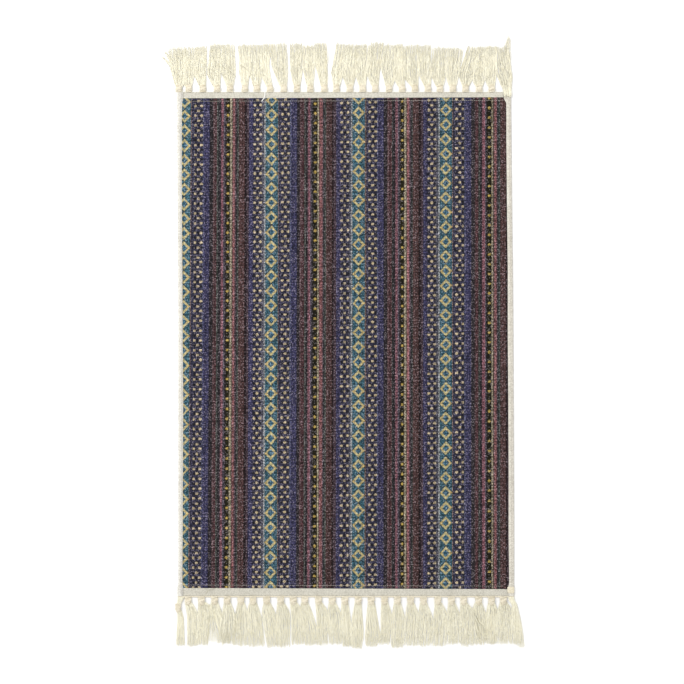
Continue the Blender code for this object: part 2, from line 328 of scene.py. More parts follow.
STRIPES = (
    Stripe(2.0, StripeYarn.PALE_BLUE),
    Stripe(22.2, StripeYarn.TEAL),
    Stripe(1.8, StripeYarn.RUST),
    Stripe(19.8, StripeYarn.NIGHT),
    Stripe(1.8, StripeYarn.MIST),
    Stripe(10.4, StripeYarn.INDIGO),
    Stripe(6.0, StripeYarn.BLACK),
    Stripe(2.5, StripeYarn.DUSTY_ROSE),
    Stripe(4.6, StripeYarn.MAROON),
    Stripe(2.6, StripeYarn.MOSS),
    Stripe(4.6, StripeYarn.BLACK),
    Stripe(3.9, StripeYarn.PINK),
    Stripe(2.6, StripeYarn.MAUVE),
    Stripe(2.4, StripeYarn.BLACK),
    Stripe(7.2, StripeYarn.OLIVE_BLACK),
    Stripe(2.8, StripeYarn.SAND),
    Stripe(2.2, StripeYarn.RED_BROWN),
    Stripe(3.9, StripeYarn.CORAL),
    Stripe(1.8, StripeYarn.PLUM),
    Stripe(2.9, StripeYarn.CHARCOAL),
    Stripe(2.5, StripeYarn.MOSS),
    Stripe(10.0, StripeYarn.BROWN),
    Stripe(3.2, StripeYarn.UMBER),
    Stripe(5.0, StripeYarn.PLUM),
    Stripe(7.1, StripeYarn.INDIGO),
    Stripe(14.3, StripeYarn.NIGHT),
    Stripe(5.3, StripeYarn.DUSK),
)


@dataclass(frozen=True)
class StripedWeave:
    """Chart of the woven panel: stripes, and the figures that are woven in along them."""

    repeat: float = 155.45
    first_stripe: float = -301.2
    diamond_column: float = -288.0
    diamond_pitch: float = 26.2
    diamond_half_width: float = 11.1
    diamond_half_length: float = 11.8
    diamond_inside: float = 0.55
    diamond_gap: float = 1.12
    dot_pitch: float = 17.467
    dot_row: float = 0.8
    dot_single: float = 24.9
    dot_pair_apart: float = 5.4
    dot_half_width: float = 2.55
    dot_half_length: float = 2.25
    gold_from_column: float = 77.8
    warp_end: float = 1.3
    weft_pick: float = 1.36
    pick_group: float = 5.45
    fleck_share: float = 0.88
    fleck_strength: float = 0.26
    fleck_yarn: tuple = (0.23, 0.20, 0.22, 1.0)
    figure_strength: float = 0.9
    dot_shade: tuple = (0.011, 0.010, 0.014, 1.0)
    dot_yarns: tuple = ((0.40, 0.32, 0.16, 1.0), (0.44, 0.36, 0.26, 1.0))
    gold_yarn: tuple = (0.30, 0.212, 0.052, 1.0)
    column_half_width: float = 2.6
    column_yarn: tuple = (0.018, 0.018, 0.020, 1.0)
    hollow_yarn: tuple = (0.036, 0.095, 0.140, 1.0)
    outline_yarns: tuple = ((0.37, 0.32, 0.16, 1.0), (0.44, 0.29, 0.09, 1.0))
    outline_turn: float = 3.0
    streak_run: tuple = (0.9, 0.012)
    bar_run: tuple = (0.02, 0.6)
    grain_power: float = 1.7
    grain_gain: float = 1.85
    grain_least: float = 0.26
    figure_grain: float = 1.05
    figure_calm: float = 0.6
    weave_strength: float = 0.55
    weave_depth: float = 0.3

    def material(self) -> Material:
        """Build the woven material on the panel's own chart coordinates.

        Returns:
            The material.
        """
        material, tree, shader = new_material("woven_stripes_cloth", 0.92, 0.08, specular=0.08)
        across, along = tree.chart()[1:]
        end = tree.math("FLOOR", tree.math("DIVIDE", across, self.warp_end))
        pick = tree.math("FLOOR", tree.math("DIVIDE", along, self.weft_pick))
        thread_across = tree.math("MULTIPLY", tree.math("ADD", end, 0.5), self.warp_end)
        thread_along = tree.math("MULTIPLY", tree.math("ADD", pick, 0.5), self.weft_pick)
        crossing = tree.first("ShaderNodeCombineXYZ", {"X": end, "Y": pick})
        float_noise = tree.add("ShaderNodeTexWhiteNoise", {"Vector": crossing}, noise_dimensions="2D")

        colour = self.stripe_colour(tree, thread_across)
        figured = self.add_figures(tree, colour, thread_across, thread_along, float_noise.outputs["Color"])
        colour = self.add_flecks(tree, *figured, float_noise, end, across, along)
        height = self.thread_height(tree, across, along, end, pick)
        tree.dress(shader, colour, height, self.weave_strength, self.weave_depth)
        return material

    def stripe_colour(self, tree: NodeTree, across: Socket) -> Socket:
        """Colour of the stripe at a place across the mat.

        Args:
            tree: The material's tree.
            across: The place across the mat.

        Returns:
            The colour.
        """
        turn = tree.math("DIVIDE", tree.math("SUBTRACT", across, self.first_stripe), self.repeat)
        ramp = tree.add("ShaderNodeValToRGB", {"Fac": tree.math("FRACT", turn)})
        ramp.color_ramp.interpolation = "CONSTANT"
        stops = ramp.color_ramp.elements
        stops.remove(stops[1])
        start = 0.0
        for number, stripe in enumerate(STRIPES):
            stop = stops[0] if number == 0 else stops.new(start / self.repeat)
            stop.color = (*stripe.yarn.value, 1.0)
            start += stripe.width
        return ramp.outputs["Color"]

    def add_figures(self, tree: NodeTree, colour: Socket, across: Socket, along: Socket,
                    noise: Socket) -> tuple[Socket, Socket]:
        """Weave the diamonds and the dots over the stripes.

        Args:
            tree: The material's tree.
            colour: Colour of the stripes.
            across: Place of the warp thread.
            along: Place of the weft thread.
            noise: A random colour for each crossing.

        Returns:
            The colour with the figures, and a mask of the pale ones.
        """
        from_column = tree.from_middle(across, self.diamond_column, self.repeat)
        from_diamond = tree.from_middle(along, 0.0, self.diamond_pitch)
        from_pair = tree.from_middle(along, self.dot_row, self.dot_pitch)
        from_single = tree.from_middle(along, self.dot_row + self.dot_pitch / 2.0, self.dot_pitch)
        beside = tree.math("ABSOLUTE", from_column)
        from_line = tree.math("SUBTRACT", beside, self.dot_single)
        from_pairs = tree.math("SUBTRACT", tree.math("ABSOLUTE", from_line), self.dot_pair_apart)

        wide, long = self.dot_half_width, self.dot_half_length
        shade_single = tree.within(from_pairs, wide, from_single, long)
        shade_pair = tree.within(from_line, wide, from_pair, long)
        shade = tree.math("MAXIMUM", shade_single, shade_pair)
        colour = tree.blend(tree.math("MULTIPLY", shade, self.figure_strength), colour, self.dot_shade)

        tone = tree.add("ShaderNodeSeparateColor", {0: noise})
        pale = tree.blend(tone.outputs["Green"], *self.dot_yarns)
        dots = tree.math("MAXIMUM", tree.within(from_pairs, wide, from_pair, long),
                         tree.within(from_line, wide, from_single, long))
        colour = tree.blend(tree.math("MULTIPLY", dots, self.figure_strength), colour, pale)

        from_gold = tree.from_middle(across, self.diamond_column + self.gold_from_column, self.repeat)
        gold = tree.within(from_gold, wide, from_pair, long)
        colour = tree.blend(gold, colour, self.gold_yarn)

        to_tip = tree.math("DIVIDE", beside, self.diamond_half_width)
        to_end = tree.math("DIVIDE", tree.math("ABSOLUTE", from_diamond), self.diamond_half_length)
        ring = tree.math("ADD", to_tip, to_end)
        outside = tree.math("LESS_THAN", ring, self.diamond_gap)
        near_column = tree.math("LESS_THAN", beside, self.column_half_width)
        colour = tree.blend(tree.math("MULTIPLY", outside, near_column), colour, self.column_yarn)
        hollow = tree.math("LESS_THAN", ring, self.diamond_inside)
        outline = tree.math("SUBTRACT", tree.math("LESS_THAN", ring, 1.0), hollow)
        colour = tree.blend(hollow, colour, self.hollow_yarn)
        sand = tree.blend(tree.math("POWER", to_tip, self.outline_turn), *self.outline_yarns)
        figures = tree.math("MAXIMUM", tree.math("MAXIMUM", dots, gold), outline)
        return tree.blend(outline, colour, sand), figures

    def add_flecks(self, tree: NodeTree, colour: Socket, figures: Socket, noise: bpy.types.Node,
                   end: Socket, across: Socket, along: Socket) -> Socket:
        """Vary the threads: a shade for each crossing, pale flecks, and soft bars and streaks.

        Args:
            tree: The material's tree.
            colour: Colour of the chart.
            figures: Mask of the pale figures, whose threads vary less.
            noise: Random value and colour of each crossing.
            end: Number of the warp thread.
            across: Place across the mat.
            along: Place along the mat.

        Returns:
            The varied colour.
        """
        fleck = tree.math("GREATER_THAN", noise.outputs["Value"], self.fleck_share)
        colour = tree.blend(tree.math("MULTIPLY", fleck, self.fleck_strength), colour, self.fleck_yarn)
        streak = tree.noise(tree.stretched(across, along, self.streak_run), 1.0, 2.0)
        bar = tree.noise(tree.stretched(across, along, self.bar_run), 1.0, 2.0)
        group = tree.wave(along, self.pick_group)
        thread = tree.first("ShaderNodeTexWhiteNoise", {"W": end}, noise_dimensions="1D")
        chance = tree.math("POWER", noise.outputs["Value"], self.grain_power)
        grain = tree.math("MULTIPLY_ADD", chance, self.grain_gain, self.grain_least)
        calm = tree.math("MULTIPLY", figures, self.figure_calm)
        grain = tree.first("ShaderNodeMix", {0: calm, 2: grain, 3: self.figure_grain}, data_type="FLOAT")
        drift = tree.weighed(-0.24, (thread, 0.55), (streak, 1.3), (bar, 0.6), (group, 0.20))
        return tree.scale(colour, tree.math("MULTIPLY", grain, drift))

    def thread_height(self, tree: NodeTree, across: Socket, along: Socket, end: Socket,
                      pick: Socket) -> Socket:
        """Raise the threads, warp and weft by turns.

        Args:
            tree: The material's tree.
            across: Place across the mat.
            along: Place along the mat.
            end: Number of the warp thread.
            pick: Number of the weft thread.

        Returns:
            The height, from 0 between two threads to 1 on a thread's middle.
        """
        warp = tree.math("ABSOLUTE", tree.wave(across, 2.0 * self.warp_end))
        weft = tree.math("ABSOLUTE", tree.wave(along, 2.0 * self.weft_pick))
        turn = tree.math("PINGPONG", tree.math("ADD", end, pick), 1.0)
        return tree.math("ADD", tree.math("MULTIPLY", warp, turn),
                         tree.math("MULTIPLY", weft, tree.math("SUBTRACT", 1.0, turn)))


@dataclass(frozen=True)
class TapeWeave:
    """Cream cotton tape, ribbed along its run, mottled, and with painted light and shade that makes it paler
    or darker towards one edge.
    """

    name: str
    light: tuple
    dark: tuple
    rib_pitch: float
    rib_depth: float
    painted_light_from: tuple
    painted_light_to: tuple
    mottle_size: float = 2.6
    grain_size: float = 1.7
    drift_scale: float = 0.03

    def material(self) -> Material:
        """Build the tape's material on its chart, which runs across the tape and along it.

        Returns:
            The material.
        """
        material, tree, shader = new_material(self.name, 0.9, 0.15)
        place, across, along = tree.chart()
        rib = tree.wave(along, self.rib_pitch)
        mottle = tree.noise(place, 1.0 / self.mottle_size, 3.0)
        drift = tree.noise(place, self.drift_scale, 1.0)
        crossing = tree.vector("FLOOR", tree.scale(place, 1.0 / self.grain_size))
        speckle = tree.first("ShaderNodeTexWhiteNoise", {"Vector": crossing}, noise_dimensions="3D")
        # painted shade: the rib wave also darkens the colour in the ribs' furrows, besides sinking them in
        # the bump
        lightness = tree.weighed(-0.75, (mottle, 1.3), (drift, 0.6), (speckle, 0.6), (rib, 0.12))
        colour = tree.blend(lightness, (*self.dark, 1.0), (*self.light, 1.0))
        # painted light and shade: the tape's colour is made paler or darker across its width, as a rounded
        # tape lit from one side would look
        (start, first), (finish, last) = self.painted_light_from, self.painted_light_to
        run = {"Value": across, "From Min": start, "From Max": finish, "To Min": first, "To Max": last}
        shade = tree.first("ShaderNodeMapRange", run)
        height = tree.math("ADD", rib, tree.math("MULTIPLY", speckle, 0.5))
        tree.dress(shader, tree.scale(colour, shade), height, 0.5, self.rib_depth)
        return material


@dataclass(frozen=True)
class YarnFinish:
    """Spun yarn whose tone changes from strand to strand and a little along each strand."""

    name: str
    light: tuple
    dark: tuple
    fibre_size: float = 0.5
    patch_scale: float = 0.09

    def material(self) -> Material:
        """Build the yarn's material.

        Returns:
            The material.
        """
        material, tree, shader = new_material(self.name, 0.95, 0.05, specular=0.1)
        place = tree.scale(tree.add("ShaderNodeTexCoord").outputs["Object"], 1.0 / MM)
        tone = tree.add("ShaderNodeAttribute", attribute_name="yarn_tone").outputs["Fac"]
        patch = tree.noise(place, self.patch_scale, 2.0)
        fibre = tree.noise(place, 1.0 / self.fibre_size, 2.0)
        lightness = tree.weighed(-0.2, (tone, 0.75), (patch, 0.6), (fibre, 0.35))
        colour = tree.blend(lightness, (*self.dark, 1.0), (*self.light, 1.0))
        tree.dress(shader, colour, fibre, 0.4, 0.2)
        return material


class StripNodes:
    """The two Geometry Nodes trees: yarns along guide lines, and a row of stitches along a seam."""

    def __init__(self) -> None:
        """Build both trees."""
        self.yarns = self.yarn_tree()
        self.stitches = self.stitch_tree()

    @staticmethod
    def empty_tree(name: str, sizes: dict) -> NodeTree:
        """A tree with a geometry input and output and named sizes.

        Args:
            name: The tree's name.
            sizes: For each named input, its socket type.

        Returns:
            The tree, with nothing in it but its interface.
        """
        tree = bpy.data.node_groups.new(name, "GeometryNodeTree")
        tree.interface.new_socket("Geometry", in_out="INPUT", socket_type="NodeSocketGeometry")
        for label, kind in sizes.items():
            tree.interface.new_socket(label, in_out="INPUT", socket_type=kind)
        tree.interface.new_socket("Geometry", in_out="OUTPUT", socket_type="NodeSocketGeometry")
        return NodeTree(tree)

    def yarn_tree(self) -> bpy.types.NodeTree:
        """Yarns: a smooth waved line through each guide's points, a thin tube on it, kept off the floor.

        Returns:
            The tree.
        """
        tree = self.empty_tree("yarns_along_guides", {
            "Yarn Thickness": "NodeSocketFloat",
            "Points": "NodeSocketInt",
            "Sides": "NodeSocketInt",
            "Wave Height": "NodeSocketFloat",
            "Wave Length": "NodeSocketFloat",
            "Tip Thickness": "NodeSocketFloat",
            "Seed": "NodeSocketInt",
            "Material": "NodeSocketMaterial",
        })
        given = tree.add("NodeGroupInput").outputs
        line = tree.first("GeometryNodeMeshToCurve", {"Mesh": given["Geometry"]})
        line = tree.first("GeometryNodeCurveSplineType", {"Curve": line}, spline_type="CATMULL_ROM")
        line = tree.first("GeometryNodeResampleCurve", {"Curve": line, "Count": given["Points"]})
        factor = tree.add("GeometryNodeSplineParameter").outputs["Factor"]
        tone = tree.first("GeometryNodeInputNamedAttribute", {"Name": "yarn_tone"}, data_type="FLOAT")
        place = tree.first("GeometryNodeInputPosition")
        waves = tree.scale(place, tree.math("DIVIDE", 1.0, given["Wave Length"]))
        apart = tree.math("ADD", tree.math("MULTIPLY", tone, 40.0), given["Seed"])
        noise = tree.add("ShaderNodeTexNoise", {"Vector": waves, "W": apart, "Scale": 1.0, "Detail": 1.0},
                         noise_dimensions="4D").outputs["Color"]
        sway = tree.vector("SUBTRACT", noise, (0.5, 0.5, 0.5))
        sway = tree.vector("MULTIPLY", sway, (1.0, 1.0, 0.4))
        free = tree.first("ShaderNodeMapRange", {"Value": factor, "From Min": 0.12, "From Max": 0.4},
                          interpolation_type="SMOOTHSTEP")
        height = tree.math("MULTIPLY", tree.math("MULTIPLY", given["Wave Height"], 2.0), free)
        offset = tree.scale(sway, height)
        line = tree.first("GeometryNodeSetPosition", {"Geometry": line, "Offset": offset})
        waved = tree.first("GeometryNodeInputPosition")
        split = tree.add("ShaderNodeSeparateXYZ", {0: waved}).outputs
        radius = tree.math("MULTIPLY", given["Yarn Thickness"], 0.5)
        raised = tree.math("MAXIMUM", split["Z"], radius)
        laid = tree.first("ShaderNodeCombineXYZ", {"X": split["X"], "Y": split["Y"], "Z": raised})
        line = tree.first("GeometryNodeSetPosition", {"Geometry": line, "Position": laid})
        narrowing = {"Value": factor, "From Min": 0.7, "From Max": 1.0, "To Min": 1.0,
                     "To Max": given["Tip Thickness"]}
        taper = tree.first("ShaderNodeMapRange", narrowing)
        circle = {"Resolution": given["Sides"], "Radius": radius}
        ring = tree.first("GeometryNodeCurvePrimitiveCircle", circle, mode="RADIUS")
        tube = tree.first("GeometryNodeCurveToMesh", {"Curve": line, "Profile Curve": ring, "Scale": taper,
                                                      "Fill Caps": True})
        return self.close_tree(tree, tube, given["Material"])

    def stitch_tree(self) -> bpy.types.NodeTree:
        """Stitches: short arched threads, set one after another along each guide.

        Returns:
            The tree.
        """
        tree = self.empty_tree("stitches_along_seams", {
            "Pitch": "NodeSocketFloat",
            "Stitch Length": "NodeSocketFloat",
            "Stitch Height": "NodeSocketFloat",
            "Thread Thickness": "NodeSocketFloat",
            "Slant": "NodeSocketFloat",
            "Seed": "NodeSocketInt",
            "Material": "NodeSocketMaterial",
        })
        given = tree.add("NodeGroupInput").outputs
        line = tree.first("GeometryNodeMeshToCurve", {"Mesh": given["Geometry"]})
        rest = tree.add("GeometryNodeCurveToPoints", {"Curve": line, "Length": given["Pitch"]}, mode="LENGTH")
        half = tree.math("MULTIPLY", given["Stitch Length"], 0.5)
        radius = tree.math("MULTIPLY", given["Thread Thickness"], 0.5)
        start = tree.first("ShaderNodeCombineXYZ", {"X": tree.math("MULTIPLY", half, -1.0)})
        twice = tree.math("MULTIPLY", given["Stitch Height"], 2.0)
        top = tree.first("ShaderNodeCombineXYZ", {"Z": twice})
        finish = tree.first("ShaderNodeCombineXYZ", {"X": half})
        arch = tree.first("GeometryNodeCurveQuadraticBezier", {"Resolution": 5, "Start": start, "Middle": top,
                                                               "End": finish})
        circle = {"Resolution": 5, "Radius": radius}
        ring = tree.first("GeometryNodeCurvePrimitiveCircle", circle, mode="RADIUS")
        stitch = tree.first("GeometryNodeCurveToMesh", {"Curve": arch, "Profile Curve": ring,
                                                        "Fill Caps": True})
        run = {"Vector": rest.outputs["Tangent"]}
        turned = tree.first("FunctionNodeAlignRotationToVector", run, axis="X", pivot_axis="Z")
        lean = tree.add("FunctionNodeRandomValue", {2: -0.12, 3: 0.12, "Seed": given["Seed"]},
                        data_type="FLOAT").outputs[1]
        slant = tree.first("ShaderNodeCombineXYZ", {"Z": tree.math("ADD", lean, given["Slant"])})
        turned = tree.first("FunctionNodeRotateRotation", {0: turned, 1: slant}, rotation_space="LOCAL")
        placed = {"Points": rest.outputs["Points"], "Instance": stitch, "Rotation": turned}
        row = tree.first("GeometryNodeInstanceOnPoints", placed)
        return self.close_tree(tree, row, given["Material"])

    @staticmethod
    def close_tree(tree: NodeTree, shape: Socket, finish: Socket) -> bpy.types.NodeTree:
        """End a tree with real geometry, smooth shading and its material.

        Args:
            tree: The tree.
            shape: The geometry that it has made.
            finish: The material's socket.

        Returns:
            The finished tree.
        """
        shape = tree.first("GeometryNodeRealizeInstances", {0: shape})
        shape = tree.first("GeometryNodeSetShadeSmooth", {0: shape, "Shade Smooth": True})
        shape = tree.first("GeometryNodeSetMaterial", {"Geometry": shape, "Material": finish})
        tree.add("NodeGroupOutput", {0: shape})
        return tree.tree


def link_object(name: str, mesh: bpy.types.Mesh) -> Piece:
    """Put a mesh into the scene as an object at the origin.

    Args:
        name: The object's name.
        mesh: Its mesh.

    Returns:
        The object.
    """
    item = bpy.data.objects.new(name, mesh)
    bpy.context.scene.collection.objects.link(item)
    return item


def grow(name: str, tree: bpy.types.NodeTree, sizes: dict, points: np.ndarray, guides: list,
         tones: np.ndarray) -> Piece:
    """Run a Geometry Nodes tree on guide lines and keep the result as a plain mesh.

    Args:
        name: The new piece's name.
        tree: The tree.
        sizes: Value of each of the tree's named inputs.
        points: Points of all the guides, in metres.
        guides: Number of points in each guide.
        tones: A tone from 0 to 1 for each guide.

    Returns:
        The piece.
    """
    edges = []
    first = 0
    for count in guides:
        edges += [(first + step, first + step + 1) for step in range(count - 1)]
        first += count
    mesh = bpy.data.meshes.new(name + "_guides")
    mesh.from_pydata(points.tolist(), edges, [])
    mesh.attributes.new("yarn_tone", "FLOAT", "POINT").data.foreach_set("value", np.repeat(tones, guides))
    guide = link_object(name + "_guides", mesh)
    modifier = guide.modifiers.new("grow", "NODES")
    modifier.node_group = tree
    for item in tree.interface.items_tree:
        if item.in_out == "INPUT" and item.name in sizes:
            modifier[item.identifier] = sizes[item.name]
    depsgraph = bpy.context.evaluated_depsgraph_get()
    grown = bpy.data.meshes.new_from_object(guide.evaluated_get(depsgraph), preserve_all_data_layers=True,
                                            depsgraph=depsgraph)
    guide.modifiers.remove(modifier)
    bpy.data.objects.remove(guide)
    grown.name = name
    return link_object(name, grown)


@dataclass(frozen=True)
class YarnRun:
    """Form of many yarns: the thickness, points and sides of each, the waves they lie in, and their tips."""

    thickness: float
    points: int
    sides: int
    wave_height: float
    wave_length: float
    tip: float

    def lay(self, name: str, paths: list | np.ndarray, tones: np.ndarray, strips: StripNodes,
            material: Material, seed: int) -> Piece:
        """Lay yarns along their paths.

        Args:
            name: The new piece's name.
            paths: The guide points of each yarn, in metres.
            tones: A tone from 0 to 1 for each yarn.
            strips: The Geometry Nodes trees.
            material: The yarn's finish.
            seed: Seed of the waves.

        Returns:
            The yarns.
        """
        sizes = {"Yarn Thickness": self.thickness * MM, "Points": self.points, "Sides": self.sides,
                 "Wave Height": self.wave_height * MM, "Wave Length": self.wave_length * MM,
                 "Tip Thickness": self.tip, "Seed": seed, "Material": material}
        return grow(name, strips.yarns, sizes, np.concatenate(paths), [len(path) for path in paths], tones)


@dataclass(frozen=True)
class StitchRow:
    """Form of a row of stitches: its pitch, and the length, height, thread and slant of each stitch."""

    pitch: float
    length: float
    height: float
    thread: float
    slant: float
    seed: int

    def sew(self, name: str, line: np.ndarray, strips: StripNodes, material: Material) -> Piece:
        """Sew the row.

        Args:
            name: The new piece's name.
            line: The points of its seam, in metres.
            strips: The Geometry Nodes trees.
            material: The thread's finish.

        Returns:
            The stitches.
        """
        sizes = {"Pitch": self.pitch * MM, "Stitch Length": self.length * MM,
                 "Stitch Height": self.height * MM, "Thread Thickness": self.thread * MM,
                 "Slant": self.slant, "Seed": self.seed, "Material": material}
        return grow(name, strips.stitches, sizes, line, [len(line)], np.array([0.5]))


def loft(name: str, rings: np.ndarray, material: Material,
         chart: np.ndarray | None = None) -> Piece:
    """Join equal rings of points into a closed, smooth piece with a flat cap at each end.

    Args:
        name: The piece's name.
        rings: Points in metres, as rings by points by three.
        material: The piece's finish.
        chart: Two chart coordinates for each point, where the piece carries the woven chart.

    Returns:
        The piece.
    """
    count, size = rings.shape[:2]
    index = np.arange(count * size).reshape(count, size)
    here = index[:-1]
    ahead = index[1:]
    quads = np.stack([here, np.roll(here, -1, axis=1), np.roll(ahead, -1, axis=1), ahead], axis=-1)
    faces = quads.reshape(-1, 4).tolist() + [index[0, ::-1].tolist(), index[-1].tolist()]
    mesh = bpy.data.meshes.new(name)
    mesh.from_pydata(rings.reshape(-1, 3).tolist(), [], faces)
    if chart is not None:
        layer = mesh.uv_layers.new(name="chart")
        corners = np.empty(len(mesh.loops), dtype=np.int32)
        mesh.loops.foreach_get("vertex_index", corners)
        layer.data.foreach_set("uv", chart.reshape(-1, 2)[corners].astype(np.float32).ravel())
    shell = bmesh.new()
    shell.from_mesh(mesh)
    bmesh.ops.recalc_face_normals(shell, faces=shell.faces)
    shell.to_mesh(mesh)
    shell.free()
    mesh.polygons.foreach_set("use_smooth", [True] * len(mesh.polygons))
    mesh.set_sharp_from_angle(angle=math.radians(50.0))
    mesh.materials.append(material)
    return link_object(name, mesh)


@dataclass(frozen=True)
class PanelEnd:
    """A short end of the woven panel: its place on the middle line, and how it runs off square."""

    along: float
    skew: float


PANEL_ENDS = {End.TOP: PanelEnd(439.7, 0.0031), End.BOTTOM: PanelEnd(-436.7, -0.0035)}


@dataclass(frozen=True)
class WovenPanel:
    """The striped cloth: one flat sheet between the bindings, thinned where they and the bands hold it."""

    thickness: float = 2.6
    tongue_under: float = 1.1
    tongue_top: float = 1.9
    binding_tape: float = 0.8
    lap_length: float = 6.0
    lap_under: float = 1.3
    length: float = 876.0
    near_ends: tuple = (0.0, 0.35, 0.9, 2.0, 4.0)
    row_count: int = 216
    column_count: int = 190
    edge_round: float = 0.9
    relief: float = 0.16
    relief_seed: int = 7
    swells: tuple = (150.0, 95.0, 61.0, 38.0, 17.0, 9.0)
    chart_rows: tuple = ((-462.4, -1.0), (-435.7, 0.0), (-250.4, 7.0), (-90.5, 13.0), (145.2, 22.0),
                         (406.7, 32.0), (458.9, 34.0))
    row_rise: float = 11.3
    row_rise_power: float = 1.45
    row_rise_repeats: float = 3.0
    row_rise_ends: tuple = ((-437.0, -260.0), (0.72, 1.0))
    lean: float = 3.2
    lean_middle: float = 261.0
    lean_reach: float = 467.0
    lean_from: float = 400.0
    lean_run: float = 786.0

    def chart_of(self, across: np.ndarray, along: np.ndarray, weave: StripedWeave) -> np.ndarray:
        """Where places on the lying mat come on its woven chart, as the cloth is drawn a little out of true.

        Args:
            across: Places across the mat.
            along: Places along the mat.
            weave: The chart.

        Returns:
            Two chart coordinates for each place, in metres.
        """
        share = np.clip((across - weave.diamond_column) / (self.row_rise_repeats * weave.repeat), 0.0, 1.3)
        rise = self.row_rise * share ** self.row_rise_power * np.interp(along, *self.row_rise_ends)
        rows = np.interp(along - rise, *np.array(self.chart_rows).T)
        down = np.clip((self.lean_from - along) / self.lean_run, 0.0, 1.1)
        lean = self.lean * ((self.lean_middle - across) / self.lean_reach) ** 2 * down
        return np.stack([across + lean, rows * weave.diamond_pitch], axis=-1) * MM

    def build(self, place: MatFrame, weave: StripedWeave) -> Piece:
        """Build the panel's cloth.

        Args:
            place: The mat's frame.
            weave: The chart and finish of its cloth.

        Returns:
            The panel.
        """
        top, bottom = PANEL_ENDS[End.TOP], PANEL_ENDS[End.BOTTOM]
        near_end = np.array(self.near_ends) / self.length
        lap = self.lap_length / self.length
        between = np.linspace(lap, 1.0 - lap, self.row_count)
        shares = np.concatenate([near_end, between, 1.0 - near_end[::-1]])
        rings = [self.ring(share, top, bottom) for share in shares]
        points = np.array(rings)
        points[..., 2] += self.softness(points)
        chart = self.chart_of(points[..., 0], points[..., 1], weave)
        return loft("woven_panel_cloth", place.metres(points), weave.material(), chart)

    def ring(self, share: float, top: PanelEnd, bottom: PanelEnd) -> np.ndarray:
        """Section of the panel across the mat.

        Args:
            share: Place between the two ends, from 0 to 1.
            top: The panel's top end.
            bottom: The panel's bottom end.

        Returns:
            The section's points.
        """
        middle = bottom.along + (top.along - bottom.along) * share
        skew = bottom.skew + (top.skew - bottom.skew) * share
        left = float(edge_at("left_inner", middle)) + SEAM_AIR
        right = float(edge_at("right_inner", middle)) - SEAM_AIR
        left_tip = float(edge_at("left_outer", middle)) + self.binding_tape + SEAM_AIR
        right_tip = float(edge_at("right_outer", middle)) - self.binding_tape - SEAM_AIR
        from_end = min(share, 1.0 - share) * (top.along - bottom.along)
        under = self.lap_under if from_end < self.lap_length - 0.1 else 0.0
        edge_drop = self.edge_round * max(0.0, 1.0 - from_end / self.edge_round) ** 2
        surface = self.thickness - edge_drop
        over = [(left_tip, self.tongue_top), (left, self.tongue_top), (left + 0.5, surface - 0.25)]
        inside = np.linspace(left + 1.5, right - 1.5, self.column_count)
        over += [(across, surface) for across in inside]
        over += [(right - 0.5, surface - 0.25), (right, self.tongue_top), (right_tip, self.tongue_top)]
        below = [(right_tip, self.tongue_under), (right, self.tongue_under), (right - 0.5, under),
                 (left + 0.5, under), (left, self.tongue_under), (left_tip, self.tongue_under)]
        return np.array([(across, middle + skew * across, height) for across, height in over + below])

    def softness(self, points: np.ndarray) -> np.ndarray:
        """Slight rise and fall of the cloth's upper face.

        Args:
            points: Points of the panel.

        Returns:
            A change of height for each point.
        """
        across, along, height = points[..., 0], points[..., 1], points[..., 2]
        dice = np.random.default_rng(self.relief_seed)
        swell = np.zeros_like(across)
        for wave in self.swells:
            turn, shift = dice.uniform(0.0, 2.0 * math.pi, 2)
            phase = (across * math.cos(turn) + along * math.sin(turn)) * 2.0 * math.pi / wave + shift
            swell += np.sin(phase) / len(self.swells)
        on_top = height > self.thickness - 0.05
        return np.where(on_top, swell * self.relief, 0.0)


